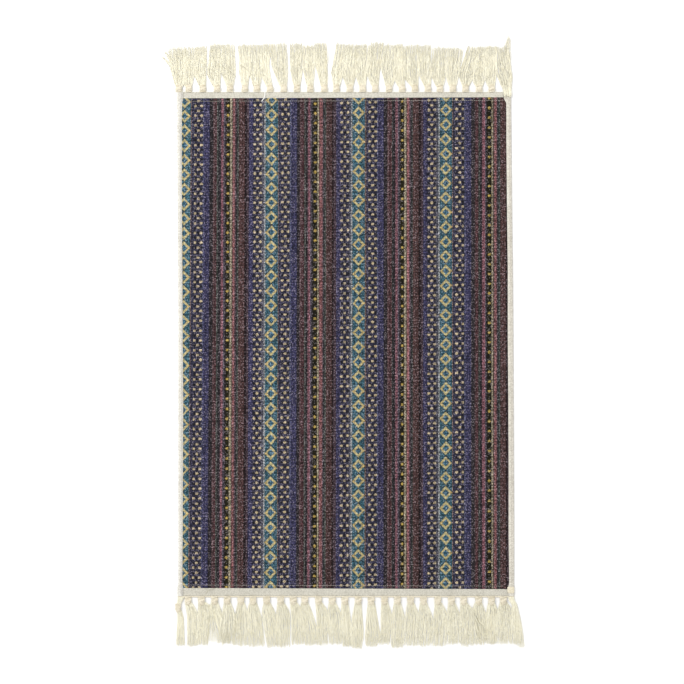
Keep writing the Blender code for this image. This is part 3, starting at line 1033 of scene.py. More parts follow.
@dataclass(frozen=True)
class SideBinding:
    """A cream tape folded round one long edge and stitched through near its inner edge."""

    side: Side
    stitch_inset: float
    tape: float = 0.8
    height: float = 3.0
    ring_step: float = 1.3
    stitch: StitchRow = StitchRow(pitch=4.1, length=2.7, height=0.4, thread=0.55, slant=0.08, seed=3)
    seam_ends: float = 4.0
    pucker: float = 0.3
    tab_from: float = -444.5
    tab_to: float = -433.5
    tab_overhang: float = 1.4

    @property
    def inward(self) -> float:
        """Sign of the way from the fold to the mat's middle."""
        return 1.0 if self.side is Side.LEFT else -1.0

    def edges(self, along: np.ndarray) -> tuple[np.ndarray, np.ndarray]:
        """The tape's outer and inner edges at places along the mat."""
        return edge_at(self.side.value + "_outer", along), edge_at(self.side.value + "_inner", along)

    def build(self, place: MatFrame, material: Material) -> Piece:
        """Build the folded tape, a little pinched at each stitch.

        Args:
            place: The mat's frame.
            material: The tape's finish.

        Returns:
            The tape.
        """
        along = np.linspace(-HALF_LENGTH, HALF_LENGTH, int(2.0 * HALF_LENGTH / self.ring_step))
        outer, inner = self.edges(along)
        outer = outer + self.inward * (0.12 + 0.12 * np.sin(along / 13.0) * np.sin(along / 4.7 + 1.0))
        width = np.abs(inner - outer)
        stitch = width - self.stitch_inset
        pinch = self.pucker * (0.5 + 0.5 * np.cos(2.0 * math.pi * along / self.stitch.pitch))
        rings = []
        chart = []
        for step, middle in enumerate(along):
            wide, seam = width[step], stitch[step]
            under, over = self.tape, self.height - self.tape
            crown = self.height
            section = [
                (1.0, 0.0), (wide - 0.4, 0.0), (wide, 0.25), (wide, under),
                (1.6, under), (1.1, 1.2), (1.1, 1.8), (1.6, over),
                (wide, over), (wide, crown - 0.25), (wide - 0.4, crown - 0.02),
                (seam + 1.4, crown), (seam + 0.7, crown - 0.3 * pinch[step]), (seam, crown - pinch[step]),
                (seam - 0.7, crown - 0.3 * pinch[step]), (seam - 1.4, crown),
                (1.3, crown), (0.7, crown - 0.15), (0.25, crown - 0.6), (0.0, 1.9),
                (0.0, 1.1), (0.25, 0.5), (0.6, 0.12),
            ]
            rings.append([(outer[step] + self.inward * inset, middle, height) for inset, height in section])
            chart.append([(inset, middle) for inset, height in section])
        return loft(f"side_binding_{self.side.value}_tape", place.metres(np.array(rings)), material,
                    np.array(chart) * MM)

    def build_stitches(self, place: MatFrame, strips: StripNodes, material: Material) -> Piece:
        """Sew the row of stitches along the tape's upper face.

        Args:
            place: The mat's frame.
            strips: The Geometry Nodes trees.
            material: The thread's finish.

        Returns:
            The stitches.
        """
        along = np.linspace(-HALF_LENGTH + self.seam_ends, HALF_LENGTH - self.seam_ends, 60)
        across = self.edges(along)[1] - self.inward * self.stitch_inset
        points = np.stack([across, along, np.full_like(along, self.height - 0.12)], axis=-1)
        name = f"side_binding_{self.side.value}_stitches"
        return self.stitch.sew(name, place.metres(points), strips, material)

    def build_tab(self, place: MatFrame, material: Material) -> Piece:
        """Fold the tape's end back on itself as a small flap at the bottom corner.

        Args:
            place: The mat's frame.
            material: The tape's finish.

        Returns:
            The flap.
        """
        along = np.array([self.tab_from, self.tab_from + 0.5, self.tab_from + 1.5, self.tab_to - 1.5,
                          self.tab_to - 0.5, self.tab_to])
        outer, inner = self.edges(along)
        narrow = np.array([1.0, 0.35, 0.0, 0.0, 0.35, 1.0])
        rings = []
        chart = []
        for step, middle in enumerate(along):
            start = outer[step] + self.inward * (0.3 + narrow[step])
            finish = inner[step] + self.inward * (self.tab_overhang - narrow[step])
            width = finish - start
            top = self.height + 0.75 - 0.25 * narrow[step]
            base = self.height - 0.1
            section = [(0.0, base), (0.0, top - 0.35), (0.05, top - 0.1), (0.12, top), (0.5, top + 0.12),
                       (0.88, top), (0.96, top - 0.1), (1.0, top - 0.35), (1.0, base)]
            rings.append([(start + width * share, middle, height) for share, height in section])
            chart.append([(abs(width) * share, middle) for share, height in section])
        return loft(f"side_binding_{self.side.value}_tab", place.metres(np.array(rings)), material,
                    np.array(chart) * MM)


@dataclass(frozen=True)
class HeadingBand:
    """A ribbed tape sewn behind the panel's end, whose thick outer part shows."""

    end: End
    thickness: float = 1.9
    lap_thickness: float = 1.0
    lap_length: float = 5.6
    rib_pitch: float = 2.6
    rib_height: float = 0.14
    ring_step: float = 0.65
    seam_inset: float = 5.4
    seam_height: float = 2.62
    seam_span: tuple = (-286.0, 280.0)
    seam: StitchRow = StitchRow(pitch=3.6, length=2.4, height=0.28, thread=0.5, slant=0.0, seed=5)

    def build(self, place: MatFrame, material: Material) -> Piece:
        """Build the ribbed tape.

        Args:
            place: The mat's frame.
            material: The tape's finish.

        Returns:
            The tape.
        """
        outward = self.end.value
        line = PANEL_ENDS[self.end]
        crossings = np.array([outward * HALF_LENGTH, line.along])
        left = float(np.max(edge_at("left_inner", crossings))) + SEAM_AIR
        right = float(np.min(edge_at("right_inner", crossings))) - SEAM_AIR
        across = np.linspace(left, right, int((right - left) / self.ring_step))
        rib = self.rib_height * np.sin(2.0 * math.pi * across / self.rib_pitch)
        rings = []
        chart = []
        for place_across, height in zip(across, rib):
            edge = outward * (line.along + line.skew * place_across)
            top = self.thickness + height - self.rib_height
            step = edge + SEAM_AIR
            section = [(edge - self.lap_length, 0.0), (HALF_LENGTH - 0.4, 0.0), (HALF_LENGTH, 0.3),
                       (HALF_LENGTH, top - 0.4), (HALF_LENGTH - 0.4, top - 0.05),
                       (HALF_LENGTH - 2.2, top), (HALF_LENGTH - 3.2, top - 0.2), (HALF_LENGTH - 4.2, top)]
            section += [(step + 1.9, top), (step + 0.5, top + 0.1), (step, top - 0.1),
                        (step, self.lap_thickness), (edge - self.lap_length, self.lap_thickness)]
            rings.append([(place_across, outward * along, level) for along, level in section])
            chart.append([(along - edge, place_across) for along, level in section])
        return loft(f"heading_band_{self.end.name.lower()}_tape", place.metres(np.array(rings)), material,
                    np.array(chart) * MM)

    def build_seam(self, place: MatFrame, strips: StripNodes, material: Material) -> Piece:
        """Sew the panel's end down with a row of pale stitches.

        Args:
            place: The mat's frame.
            strips: The Geometry Nodes trees.
            material: The thread's finish.

        Returns:
            The stitches.
        """
        line = PANEL_ENDS[self.end]
        across = np.linspace(*self.seam_span, 30)
        along = line.along + line.skew * across - self.end.value * self.seam_inset
        points = np.stack([across, along, np.full_like(across, self.seam_height)], axis=-1)
        name = f"heading_band_{self.end.name.lower()}_seam"
        return self.seam.sew(name, place.metres(points), strips, material)


@dataclass(frozen=True)
class Parting:
    """Where the wedge between two neighbouring tassels closes, and how wide a gap stays open beyond it."""

    across: float
    out: float
    opening: float = 0.0


@dataclass(frozen=True)
class Tassel:
    """One tassel: its knot, the span of its tips, and how far the tips reach from the band's edge.

    Each wisp is a stray strand, given by the place of its tip across the mat and its own reach.
    """

    knot: float
    tip_left: float
    tip_right: float
    reach: float
    root: float | None = None
    root_half: float = 4.8
    root_out: float = -1.6
    slimness: float = 1.0
    drop: float = 0.0
    lift: float = 0.0
    wisps: tuple = ()
    bend: float = 2.4
    wisp_lift: float = 1.2
    knotted: bool = True

    @property
    def root_place(self) -> float:
        """Where the tassel leaves the cord, across the mat."""
        return self.knot if self.root is None else self.root


TOP_TASSELS = (
    Tassel(-298.5, -317.0, -289.0, 78.5, root=-295.8,
           wisps=((-332.0, 63.5), (-331.5, 64.5), (-331.0, 62.0), (-330.5, 64.0), (-330.0, 62.5),
                  (-329.5, 61.0), (-329.0, 63.5), (-328.5, 62.0), (-327.5, 60.5), (-326.5, 62.0),
                  (-325.5, 72.0), (-325.5, 73.5), (-325.0, 71.0), (-325.0, 74.0), (-324.5, 72.5),
                  (-324.0, 72.0), (-323.5, 70.0), (-323.0, 73.0), (-322.5, 69.0), (-322.0, 72.0),
                  (-321.5, 71.0), (-320.5, 72.5), (-319.5, 74.0), (-318.5, 75.5)),
           bend=4.0, wisp_lift=0.8),
    Tassel(-280.5, -289.5, -269.0, 79.5),
    Tassel(-255.5, -268.0, -247.5, 80.5),
    Tassel(-230.0, -242.5, -220.0, 84.5),
    Tassel(-207.0, -218.5, -198.0, 84.5),
    Tassel(-180.5, -193.0, -174.5, 84.0),
    Tassel(-159.0, -173.0, -153.0, 84.5),
    Tassel(-135.5, -151.5, -131.5, 85.0),
    Tassel(-111.0, -134.5, -104.5, 86.5),
    Tassel(-87.5, -100.5, -75.0, 87.0),
    Tassel(-63.5, -73.5, -57.0, 82.0),
    Tassel(-38.5, -55.5, -34.5, 87.0, wisps=((-30.0, 84.0), (-25.0, 80.0))),
    Tassel(-17.0, -17.0, 1.5, 85.5),
    Tassel(7.0, 3.0, 20.0, 84.5),
    Tassel(30.0, 21.5, 43.0, 84.0),
    Tassel(52.5, 44.5, 67.5, 88.0),
    Tassel(77.0, 69.0, 87.5, 84.5),
    Tassel(100.5, 89.0, 100.5, 84.0),
    Tassel(123.5, 102.0, 129.0, 84.0),
    Tassel(146.5, 130.5, 151.0, 83.0),
    Tassel(168.0, 155.5, 181.5, 79.5),
    Tassel(191.0, 183.0, 209.5, 78.5),
    Tassel(213.5, 218.0, 234.0, 79.5),
    Tassel(238.0, 235.5, 251.0, 79.5),
    Tassel(260.5, 252.5, 270.0, 81.5),
    Tassel(287.5, 266.0, 291.0, 80.5, root=288.5, root_half=7.0, root_out=-9.0, slimness=1.7, knotted=False,
           wisps=((281.0, 82.5), (282.5, 84.5), (284.0, 86.5), (285.0, 88.5), (286.0, 90.0),
                  (286.5, 91.0), (287.0, 94.0), (287.5, 92.5), (288.0, 96.0), (288.4, 94.5),
                  (288.8, 98.0), (289.2, 96.5), (289.6, 99.5), (290.0, 98.0), (290.4, 100.5),
                  (290.8, 99.5), (291.2, 100.5), (291.6, 98.5), (292.0, 99.5), (292.4, 97.0),
                  (292.8, 98.0), (293.2, 95.5), (293.6, 96.0), (294.0, 93.5), (294.4, 91.0))),
)
BOTTOM_TASSELS = (
    Tassel(-299.5, -303.2, -287.5, 87.5, root=-294.0, root_half=5.5, slimness=0.85, drop=13.0),
    Tassel(-282.0, -283.5, -266.0, 88.5),
    Tassel(-258.0, -264.5, -247.5, 86.5),
    Tassel(-234.5, -221.0, -204.0, 83.0,
           wisps=((-246.5, 80.0), (-245.5, 79.0), (-244.0, 81.0), (-243.0, 82.0), (-242.0, 80.5),
                  (-241.0, 80.0), (-240.0, 82.0), (-239.0, 83.0), (-237.5, 81.0), (-236.5, 83.0),
                  (-235.5, 84.0), (-234.0, 82.0), (-233.0, 81.0), (-232.0, 83.0), (-230.5, 81.5),
                  (-229.5, 83.5), (-228.5, 84.0), (-227.5, 82.5), (-226.5, 82.0), (-225.5, 84.0),
                  (-224.0, 83.0), (-222.5, 82.5)),
           bend=1.0),
    Tassel(-212.0, -229.0, -199.0, 84.5, lift=1.6),
    Tassel(-187.5, -201.0, -173.0, 88.0),
    Tassel(-166.0, -171.5, -143.5, 89.0),
    Tassel(-141.5, -141.0, -123.0, 90.0),
    Tassel(-116.5, -121.5, -99.5, 90.0),
    Tassel(-94.0, -97.0, -74.5, 86.0),
    Tassel(-73.5, -72.5, -54.5, 86.5),
    Tassel(-49.0, -51.5, -28.0, 86.0),
    Tassel(-24.5, -26.0, -8.0, 85.0),
    Tassel(-2.0, -5.0, 11.0, 89.0),
    Tassel(22.0, 13.0, 28.0, 92.0),
    Tassel(45.0, 34.5, 54.5, 89.0),
    Tassel(69.0, 56.5, 79.5, 85.0),
    Tassel(92.0, 81.5, 101.0, 91.0),
    Tassel(115.5, 102.5, 127.0, 88.0),
    Tassel(138.5, 129.5, 154.0, 88.5),
    Tassel(164.0, 156.5, 180.5, 89.0),
    Tassel(188.5, 183.5, 203.0, 85.5),
    Tassel(210.0, 205.0, 230.0, 88.0,
           wisps=((264.0, 71.0), (263.0, 72.5), (261.5, 73.0), (260.0, 74.5), (258.5, 73.5),
                  (257.0, 76.0), (255.0, 76.5), (253.5, 77.0), (251.5, 79.5), (249.5, 78.5),
                  (247.5, 80.0), (245.0, 81.5), (243.0, 82.0), (240.5, 84.0), (238.0, 83.5), (235.5, 85.0)),
           bend=1.2, wisp_lift=3.4),
    Tassel(237.0, 231.5, 252.0, 86.0),
    Tassel(260.0, 254.0, 267.5, 84.0),
    Tassel(281.0, 268.5, 295.0, 84.0),
    Tassel(300.5, 294.0, 317.5, 85.5, root=295.0, root_half=4.9, slimness=0.8, drop=3.5, knotted=False,
           wisps=((305.0, 88.0), (306.5, 90.0), (307.5, 89.5), (308.5, 91.5), (309.5, 92.0),
                  (310.5, 91.0), (311.5, 92.5), (312.2, 93.0), (313.0, 91.5), (313.8, 92.5),
                  (314.6, 93.0), (315.3, 92.0), (316.0, 92.5), (316.7, 91.5), (317.3, 92.5),
                  (318.0, 91.5), (318.6, 90.5), (319.0, 89.5)),
           bend=1.0, wisp_lift=0.4),
)
TOP_PARTINGS = (
    Parting(-311.0, 29.0), Parting(-290.0, 5.0), Parting(-271.5, 24.0), Parting(-249.0, 22.0, 0.8),
    Parting(-223.0, 29.0), Parting(-193.6, 26.0, 5.4), Parting(-172.5, 24.0), Parting(-150.5, 18.5),
    Parting(-135.5, 40.0, 3.6), Parting(-101.8, 28.0, 3.2), Parting(-77.3, 34.0), Parting(-55.3, 43.0),
    Parting(-29.5, 28.0, 5.5), Parting(-6.2, 21.0), Parting(17.3, 21.0), Parting(37.5, 24.0),
    Parting(61.2, 38.0), Parting(87.0, 11.0), Parting(104.5, 17.0), Parting(129.5, 25.0),
    Parting(152.0, 20.0), Parting(178.0, 18.0), Parting(201.5, 23.0), Parting(225.5, 15.0),
    Parting(248.0, 14.0), Parting(268.5, 25.0), Parting(297.5, 25.5),
)
BOTTOM_PARTINGS = (
    Parting(-300.4, 28.0), Parting(-286.8, 28.0, 6.5), Parting(-264.0, 22.0), Parting(-241.0, 9.0),
    Parting(-220.7, 24.0), Parting(-197.5, 27.0), Parting(-176.0, 19.0), Parting(-151.0, 26.0, 0.5),
    Parting(-125.0, 25.0), Parting(-98.5, 22.0, 0.3), Parting(-81.5, 11.0), Parting(-51.0, 52.0),
    Parting(-32.0, 19.0), Parting(-8.0, 24.0), Parting(9.5, 40.0), Parting(33.0, 60.0, 2.0),
    Parting(61.5, 62.0), Parting(82.5, 27.0), Parting(106.0, 36.0), Parting(130.0, 23.0),
    Parting(157.0, 37.0), Parting(181.5, 22.0), Parting(204.5, 27.0), Parting(224.5, 19.0),
    Parting(250.5, 26.0), Parting(271.5, 19.0), Parting(297.5, 16.0), Parting(311.0, 35.5),
)


def folded_back(shares: np.ndarray) -> np.ndarray:
    """Shares of a half width, with those past either edge turned back inside it."""
    return np.where(np.abs(shares) > 1.0, np.sign(shares) * (2.0 - np.abs(shares)), shares)


@dataclass(frozen=True)
class KnottedFringe:
    """A row of tassels of loose yarn, each in one knot, tied along a twisted edge cord."""

    end: End
    tassels: tuple
    partings: tuple
    seed: int
    knot_end: float
    knot_widths: tuple
    tail_half: float
    wraps: int
    cord_yarn: float
    knot_start: float = -2.3
    knot_shares: tuple = (0.0, 0.4, 0.75, 1.0)
    knot_heights: tuple = (1.3, 2.6, 2.7, 1.6)
    wrap: YarnRun = YarnRun(thickness=1.35, points=19, sides=5, wave_height=0.25, wave_length=4.0, tip=0.9)
    tail: YarnRun = YarnRun(thickness=0.76, points=14, sides=3, wave_height=0.7, wave_length=22.0, tip=0.5)
    tail_yarns: int = 84
    tail_levels: tuple = ((0.0, 3.0), (0.09, 2.6), (0.2, 2.1), (0.34, 1.7), (0.52, 1.5), (0.7, 1.3),
                          (0.86, 1.1), (1.0, 0.9))
    tail_tuck: float = 5.0
    flare: float = 0.85
    meeting_lap: float = 0.6
    meeting_late: float = 6.0
    lap: float = 1.5
    length_spread: float = 1.9
    short_share: float = 0.14
    short_by: tuple = (2.0, 18.0)
    tip_spread: float = 0.14
    wander: float = 0.06
    neck_half: float = 3.4
    cord_strands: int = 3
    cord_turn: float = 6.5

    def name(self, part: str) -> str:
        """Name of one of the fringe's pieces."""
        return f"knotted_fringe_{self.end.name.lower()}_{part}"

    def from_cord(self, out: np.ndarray) -> np.ndarray:
        """Place along the mat of a distance out from the cord's outer face."""
        return self.end.value * (HALF_LENGTH + SEAM_AIR + CORD_WIDTH + out)

    def build_tails(self, place: MatFrame, strips: StripNodes, material: Material) -> Piece:
        """Lay the loose yarns of all the tassels, from the cord through the knots to their tips.

        Args:
            place: The mat's frame.
            strips: The Geometry Nodes trees.
            material: The yarn's finish.

        Returns:
            The yarns.
        """
        dice = np.random.default_rng(self.seed)
        paths = np.concatenate([self.tail_paths(number, dice) for number in range(len(self.tassels))])
        tones = dice.uniform(0.0, 1.0, len(paths))
        return self.tail.lay(self.name("tails"), place.metres(paths), tones, strips, material, self.seed)

    def tail_edge(self, number: int, way: float, out: np.ndarray, reach: float) -> np.ndarray:
        """One side of a tassel's tail, from the knot past the parting to the tips.

        Args:
            number: Number of the tassel.
            way: Minus one for the left side and one for the right.
            out: Distances out from the cord.
            reach: Distance of the tips.

        Returns:
            The side's place across the mat at each distance.
        """
        tassel = self.tassels[number]
        left = way < 0.0
        parting = self.partings[number if left else number + 1]
        outermost = number == (0 if left else len(self.tassels) - 1)
        lap = 0.0 if outermost else self.lap
        if parting.opening:
            lap = -parting.opening / 2.0
        meeting = min(lap, self.meeting_lap)
        start = self.knot_end + tassel.drop - self.tail_tuck
        late = 0.0 if outermost else self.meeting_late
        meets = max(parting.out + late, start + 4.0)
        neck = tassel.knot + way * self.tail_half * tassel.slimness
        side = parting.across + way * meeting
        tip = (tassel.tip_left if left else tassel.tip_right) + way * max(lap, 0.0) * 0.6
        to_parting = np.clip((out - start) / (meets - start), 0.0, 1.0)
        beyond = np.clip((out - meets) / (reach - meets), 0.0, 1.0)
        return neck + (side - neck) * to_parting ** self.flare + (tip - side) * beyond

    def tail_paths(self, number: int, dice: np.random.Generator) -> np.ndarray:
        """Guide points of one tassel's yarns.

        Args:
            number: Number of the tassel.
            dice: The source of chance.

        Returns:
            Points, as yarns by points by three.
        """
        tassel = self.tassels[number]
        body = self.tail_yarns
        count = body + len(tassel.wisps)
        spread = (np.arange(body) + dice.uniform(0.0, 1.0, body)) / body * 2.0 - 1.0
        tip_middle = (tassel.tip_left + tassel.tip_right) / 2.0
        tip_half = (tassel.tip_right - tassel.tip_left) / 2.0
        toward = [math.copysign(dice.uniform(0.5, 1.0), tip - tip_middle) for tip, far in tassel.wisps]
        side = np.concatenate([spread, toward])
        layer = dice.uniform(0.0, 1.0, count) ** 0.45
        arch = np.sqrt(1.0 - 0.6 * side ** 2)
        start = self.knot_end + tassel.drop - self.tail_tuck
        full = tassel.reach - (CORD_WIDTH + SEAM_AIR)
        length = math.hypot(full - start, tip_middle - tassel.knot)
        yarn = length + dice.normal(0.0, self.length_spread, count)
        short = dice.uniform(0.0, 1.0, count) < self.short_share
        yarn -= np.where(short, dice.uniform(*self.short_by, count), 0.0)
        tip_side = folded_back(side + dice.normal(0.0, self.tip_spread, count))
        tips = tip_middle + tip_half * tip_side
        reach = start + np.sqrt(np.maximum(yarn ** 2 - (tips - tassel.knot) ** 2, 1.0))
        astray = np.zeros(count)
        raised = np.full(count, tassel.lift)
        for strand, (tip, far) in enumerate(tassel.wisps, start=body):
            reach[strand] = far - (CORD_WIDTH + SEAM_AIR)
            astray[strand] = tip - tips[strand]
            raised[strand] = tassel.wisp_lift

        slim = tassel.slimness
        neck, neck_half = tassel.knot, self.neck_half * slim
        if not tassel.knotted:
            neck, neck_half = 0.7 * tassel.root_place + 0.3 * tassel.knot, tassel.root_half
        over_tape = 2.4 if tassel.root_out < -CORD_WIDTH else 0.0
        keys = [
            (tassel.root_place + tassel.root_half * side,
             tassel.root_out + over_tape * dice.uniform(-1.4, 1.4, count), 1.0 + over_tape + 1.6 * layer),
            (neck + neck_half * side, np.full(count, 3.0 + tassel.drop), 1.2 + 2.6 * layer * arch),
        ]
        wander = dice.normal(0.0, self.wander, (len(self.tail_levels) - 1, count))
        for order, (ahead, top) in enumerate(self.tail_levels):
            out = start + (reach - start) * ahead
            left = self.tail_edge(number, -1.0, out, full)
            right = self.tail_edge(number, 1.0, out, full)
            drift = side + (tip_side - side) * ahead
            if 0.0 < ahead < 1.0:
                drift = drift + wander[order - 1]
            across = (left + right) / 2.0 + (right - left) / 2.0 * folded_back(drift)
            lifted = raised * math.sqrt(math.sin(math.pi * min(ahead, 0.999)))
            height = 0.5 + top * layer * arch + lifted
            keys.append((across + astray * ahead ** tassel.bend, out, height))
        across, out, height = (np.stack(column, axis=-1) for column in zip(*keys))
        return np.stack([across, self.from_cord(out), height], axis=-1)

    def build_knots(self, place: MatFrame, strips: StripNodes, material: Material) -> Piece:
        """Wind the wraps of every knot.

        Args:
            place: The mat's frame.
            strips: The Geometry Nodes trees.
            material: The yarn's finish.

        Returns:
            The wraps.
        """
        dice = np.random.default_rng(self.seed + 1)
        paths = np.concatenate([self.wrap_paths(tassel, dice) for tassel in self.tassels if tassel.knotted])
        tones = dice.uniform(0.1, 0.9, len(paths))
        return self.wrap.lay(self.name("knots"), place.metres(paths), tones, strips, material, self.seed)

    def wrap_paths(self, tassel: Tassel, dice: np.random.Generator) -> np.ndarray:
        """Guide points of one knot: turns side by side, and a slanting band of strands over them.

        Args:
            tassel: The tassel.
            dice: The source of chance.

        Returns:
            Points, as strands by points by three.
        """
        angles = np.linspace(-0.5 * math.pi - 0.2, 1.5 * math.pi + 0.2, 13)
        length = self.knot_end - self.knot_start
        first = self.knot_start + tassel.drop
        strands = []
        for share in np.linspace(0.0, 1.0, self.wraps):
            wide = self.knot_half(share) * tassel.slimness + dice.uniform(-0.25, 0.25)
            high = np.interp(share, self.knot_shares, self.knot_heights) + dice.uniform(-0.1, 0.1)
            out = first + length * share + dice.uniform(-0.7, 0.7) * np.cos(angles)
            across = tassel.knot + wide * np.cos(angles)
            height = 0.75 + high * (1.0 + np.sin(angles))
            strands.append(np.stack([across, self.from_cord(out), height], axis=-1))
        over = np.linspace(math.pi - 0.25, 0.25, 13)
        for shift in (-1.3, 0.0, 1.3):
            share = 0.45 + self.end.value * 0.2 * np.cos(over) + (shift + dice.uniform(-0.2, 0.2)) / length
            wide = self.knot_half(share) * tassel.slimness + 0.2
            high = np.interp(share, self.knot_shares, self.knot_heights)
            out = first + length * share
            across = tassel.knot + wide * np.cos(over)
            height = 1.1 + high * (1.0 + np.sin(over))
            strands.append(np.stack([across, self.from_cord(out), height], axis=-1))
        return np.array(strands)

    def knot_half(self, share: float | np.ndarray) -> float | np.ndarray:
        """Half width of a knot at a share of its length."""
        return np.interp(share, self.knot_shares, self.knot_widths)

    def build_cord(self, place: MatFrame, strips: StripNodes, material: Material) -> Piece:
        """Twist the cord that carries the tassels.

        Args:
            place: The mat's frame.
            strips: The Geometry Nodes trees.
            material: The yarn's finish.

        Returns:
            The cord.
        """
        left = float(edge_at("left_outer", self.end.value * HALF_LENGTH)) + 0.4
        right = float(edge_at("right_outer", self.end.value * HALF_LENGTH)) - 0.4
        count = int((right - left) / self.cord_turn * 8.0)
        across = np.linspace(left, right, count)
        paths = []
        for strand in range(self.cord_strands):
            angle = 2.0 * math.pi * (across / self.cord_turn + strand / self.cord_strands)
            out = 0.9 * self.cord_yarn - SEAM_AIR - CORD_WIDTH + 0.4 * self.cord_yarn * np.cos(angle)
            height = self.cord_yarn + 0.45 * self.cord_yarn * np.sin(angle)
            paths.append(np.stack([across, self.from_cord(out), height], axis=-1))
        run = YarnRun(self.cord_yarn, count, 5, 0.0, 9.0, 1.0)
        tones = np.array([0.5, 0.6, 0.4])
        return run.lay(self.name("cord"), place.metres(np.array(paths)), tones, strips, material, 1)


@dataclass(frozen=True)
class LooseThreads:
    """Threads that have come loose and lie over the fringe and the bands."""

    name: str
    thickness: float
    paths: tuple

    def build(self, place: MatFrame, strips: StripNodes, material: Material) -> Piece:
        """Lay the threads.

        Args:
            place: The mat's frame.
            strips: The Geometry Nodes trees.
            material: The thread's finish.

        Returns:
            The threads.
        """
        paths = [place.metres(path) for path in self.paths]
        run = YarnRun(self.thickness, 24, 5, 0.3, 7.0, 0.7)
        return run.lay(self.name, paths, np.linspace(0.3, 0.8, len(paths)), strips, material, 11)


PALE_THREADS = LooseThreads("loose_threads_pale", 0.95, (
    ((-145.5, 450.5, 3.6), (-144.9, 443.6, 2.6), (-147.2, 438.3, 3.2), (-151.3, 433.4, 3.3)),
    ((-144.0, 449.5, 3.2), (-144.3, 444.0, 2.6), (-146.2, 439.0, 3.2), (-150.0, 433.0, 3.4)),
))
TAN_THREADS = LooseThreads("loose_threads_tan", 0.55, (
    ((-236.3, 498.1, 5.2), (-220.5, 494.6, 5.9), (-207.1, 486.5, 5.9), (-196.4, 476.7, 5.2),
     (-187.5, 467.8, 5.2)),
    ((-189.2, 498.1, 5.6), (-182.1, 494.6, 5.9), (-175.8, 489.2, 5.6)),
    ((-250.7, -447.4, 2.5), (-246.4, -441.0, 2.4), (-238.4, -437.6, 2.8), (-228.6, -434.7, 3.2)),
    ((-170.0, 447.5, 2.3), (-165.0, 445.5, 2.4), (-160.6, 442.0, 2.4), (-156.5, 438.5, 2.9)),
))


@dataclass(frozen=True)
class Studio:
    """A white floor, soft light mostly from the upper left, and a camera straight above the mat."""

    view_middle: tuple = (-0.0036, 0.0018)
    view_width: float = 1.2223
    lens: float = 100.0
    sensor: float = 36.0
    floor_size: float = 9.0
    floor_white: tuple = (0.93, 0.93, 0.93)
    floor_shade: float = 0.985
    key_size: float = 1.8
    key_place: tuple = (-1.7, 1.7, 2.6)
    key_power: float = 62.0
    sky_strength: float = 0.95

    def build(self) -> None:
        """Make the floor, the lights and the camera."""
        self.build_floor()
        self.build_lights()
        self.build_camera()

    def build_floor(self) -> None:
        """Lay the pale floor under the mat."""
        material, tree, shader = new_material("studio_floor", 0.9, 0.0)
        place = tree.add("ShaderNodeTexCoord").outputs["Object"]
        grain = tree.add("ShaderNodeTexNoise", {"Vector": place, "Scale": 3.0}).outputs["Fac"]
        white = (*self.floor_white, 1.0)
        greyer = (*(self.floor_shade * value for value in self.floor_white), 1.0)
        tree.tree.links.new(tree.blend(grain, white, greyer), shader.inputs["Base Color"])
        half = self.floor_size / 2.0
        mesh = bpy.data.meshes.new("studio_floor")
        mesh.from_pydata([(-half, -half, 0.0), (half, -half, 0.0), (half, half, 0.0), (-half, half, 0.0)], [],
                         [(0, 1, 2, 3)])
        mesh.materials.append(material)
        link_object("studio_floor", mesh)

    def build_lights(self) -> None:
        """Hang a large soft lamp at the upper left and light the room evenly."""
        lamp = bpy.data.lights.new("key_softbox", "AREA")
        lamp.shape = "DISK"
        lamp.size = self.key_size
        lamp.energy = self.key_power
        key = bpy.data.objects.new("key_softbox", lamp)
        key.location = self.key_place
        aim = -key.location
        key.rotation_euler = aim.to_track_quat("-Z", "Y").to_euler()
        bpy.context.scene.collection.objects.link(key)
        world = bpy.data.worlds.new("studio_room")
        world.use_nodes = True
        sky = world.node_tree.nodes["Background"]
        sky.inputs["Color"].default_value = (1.0, 1.0, 1.0, 1.0)
        sky.inputs["Strength"].default_value = self.sky_strength
        bpy.context.scene.world = world
        bpy.context.scene.view_settings.view_transform = "Standard"

    def build_camera(self) -> None:
        """Set the camera straight above the mat."""
        data = bpy.data.cameras.new("view")
        data.lens = self.lens
        data.sensor_width = self.sensor
        camera = bpy.data.objects.new("view", data)
        distance = self.view_width * self.lens / self.sensor
        camera.location = (*self.view_middle, distance)
        data.clip_end = 4.0 * distance
        bpy.context.scene.collection.objects.link(camera)
        bpy.context.scene.camera = camera


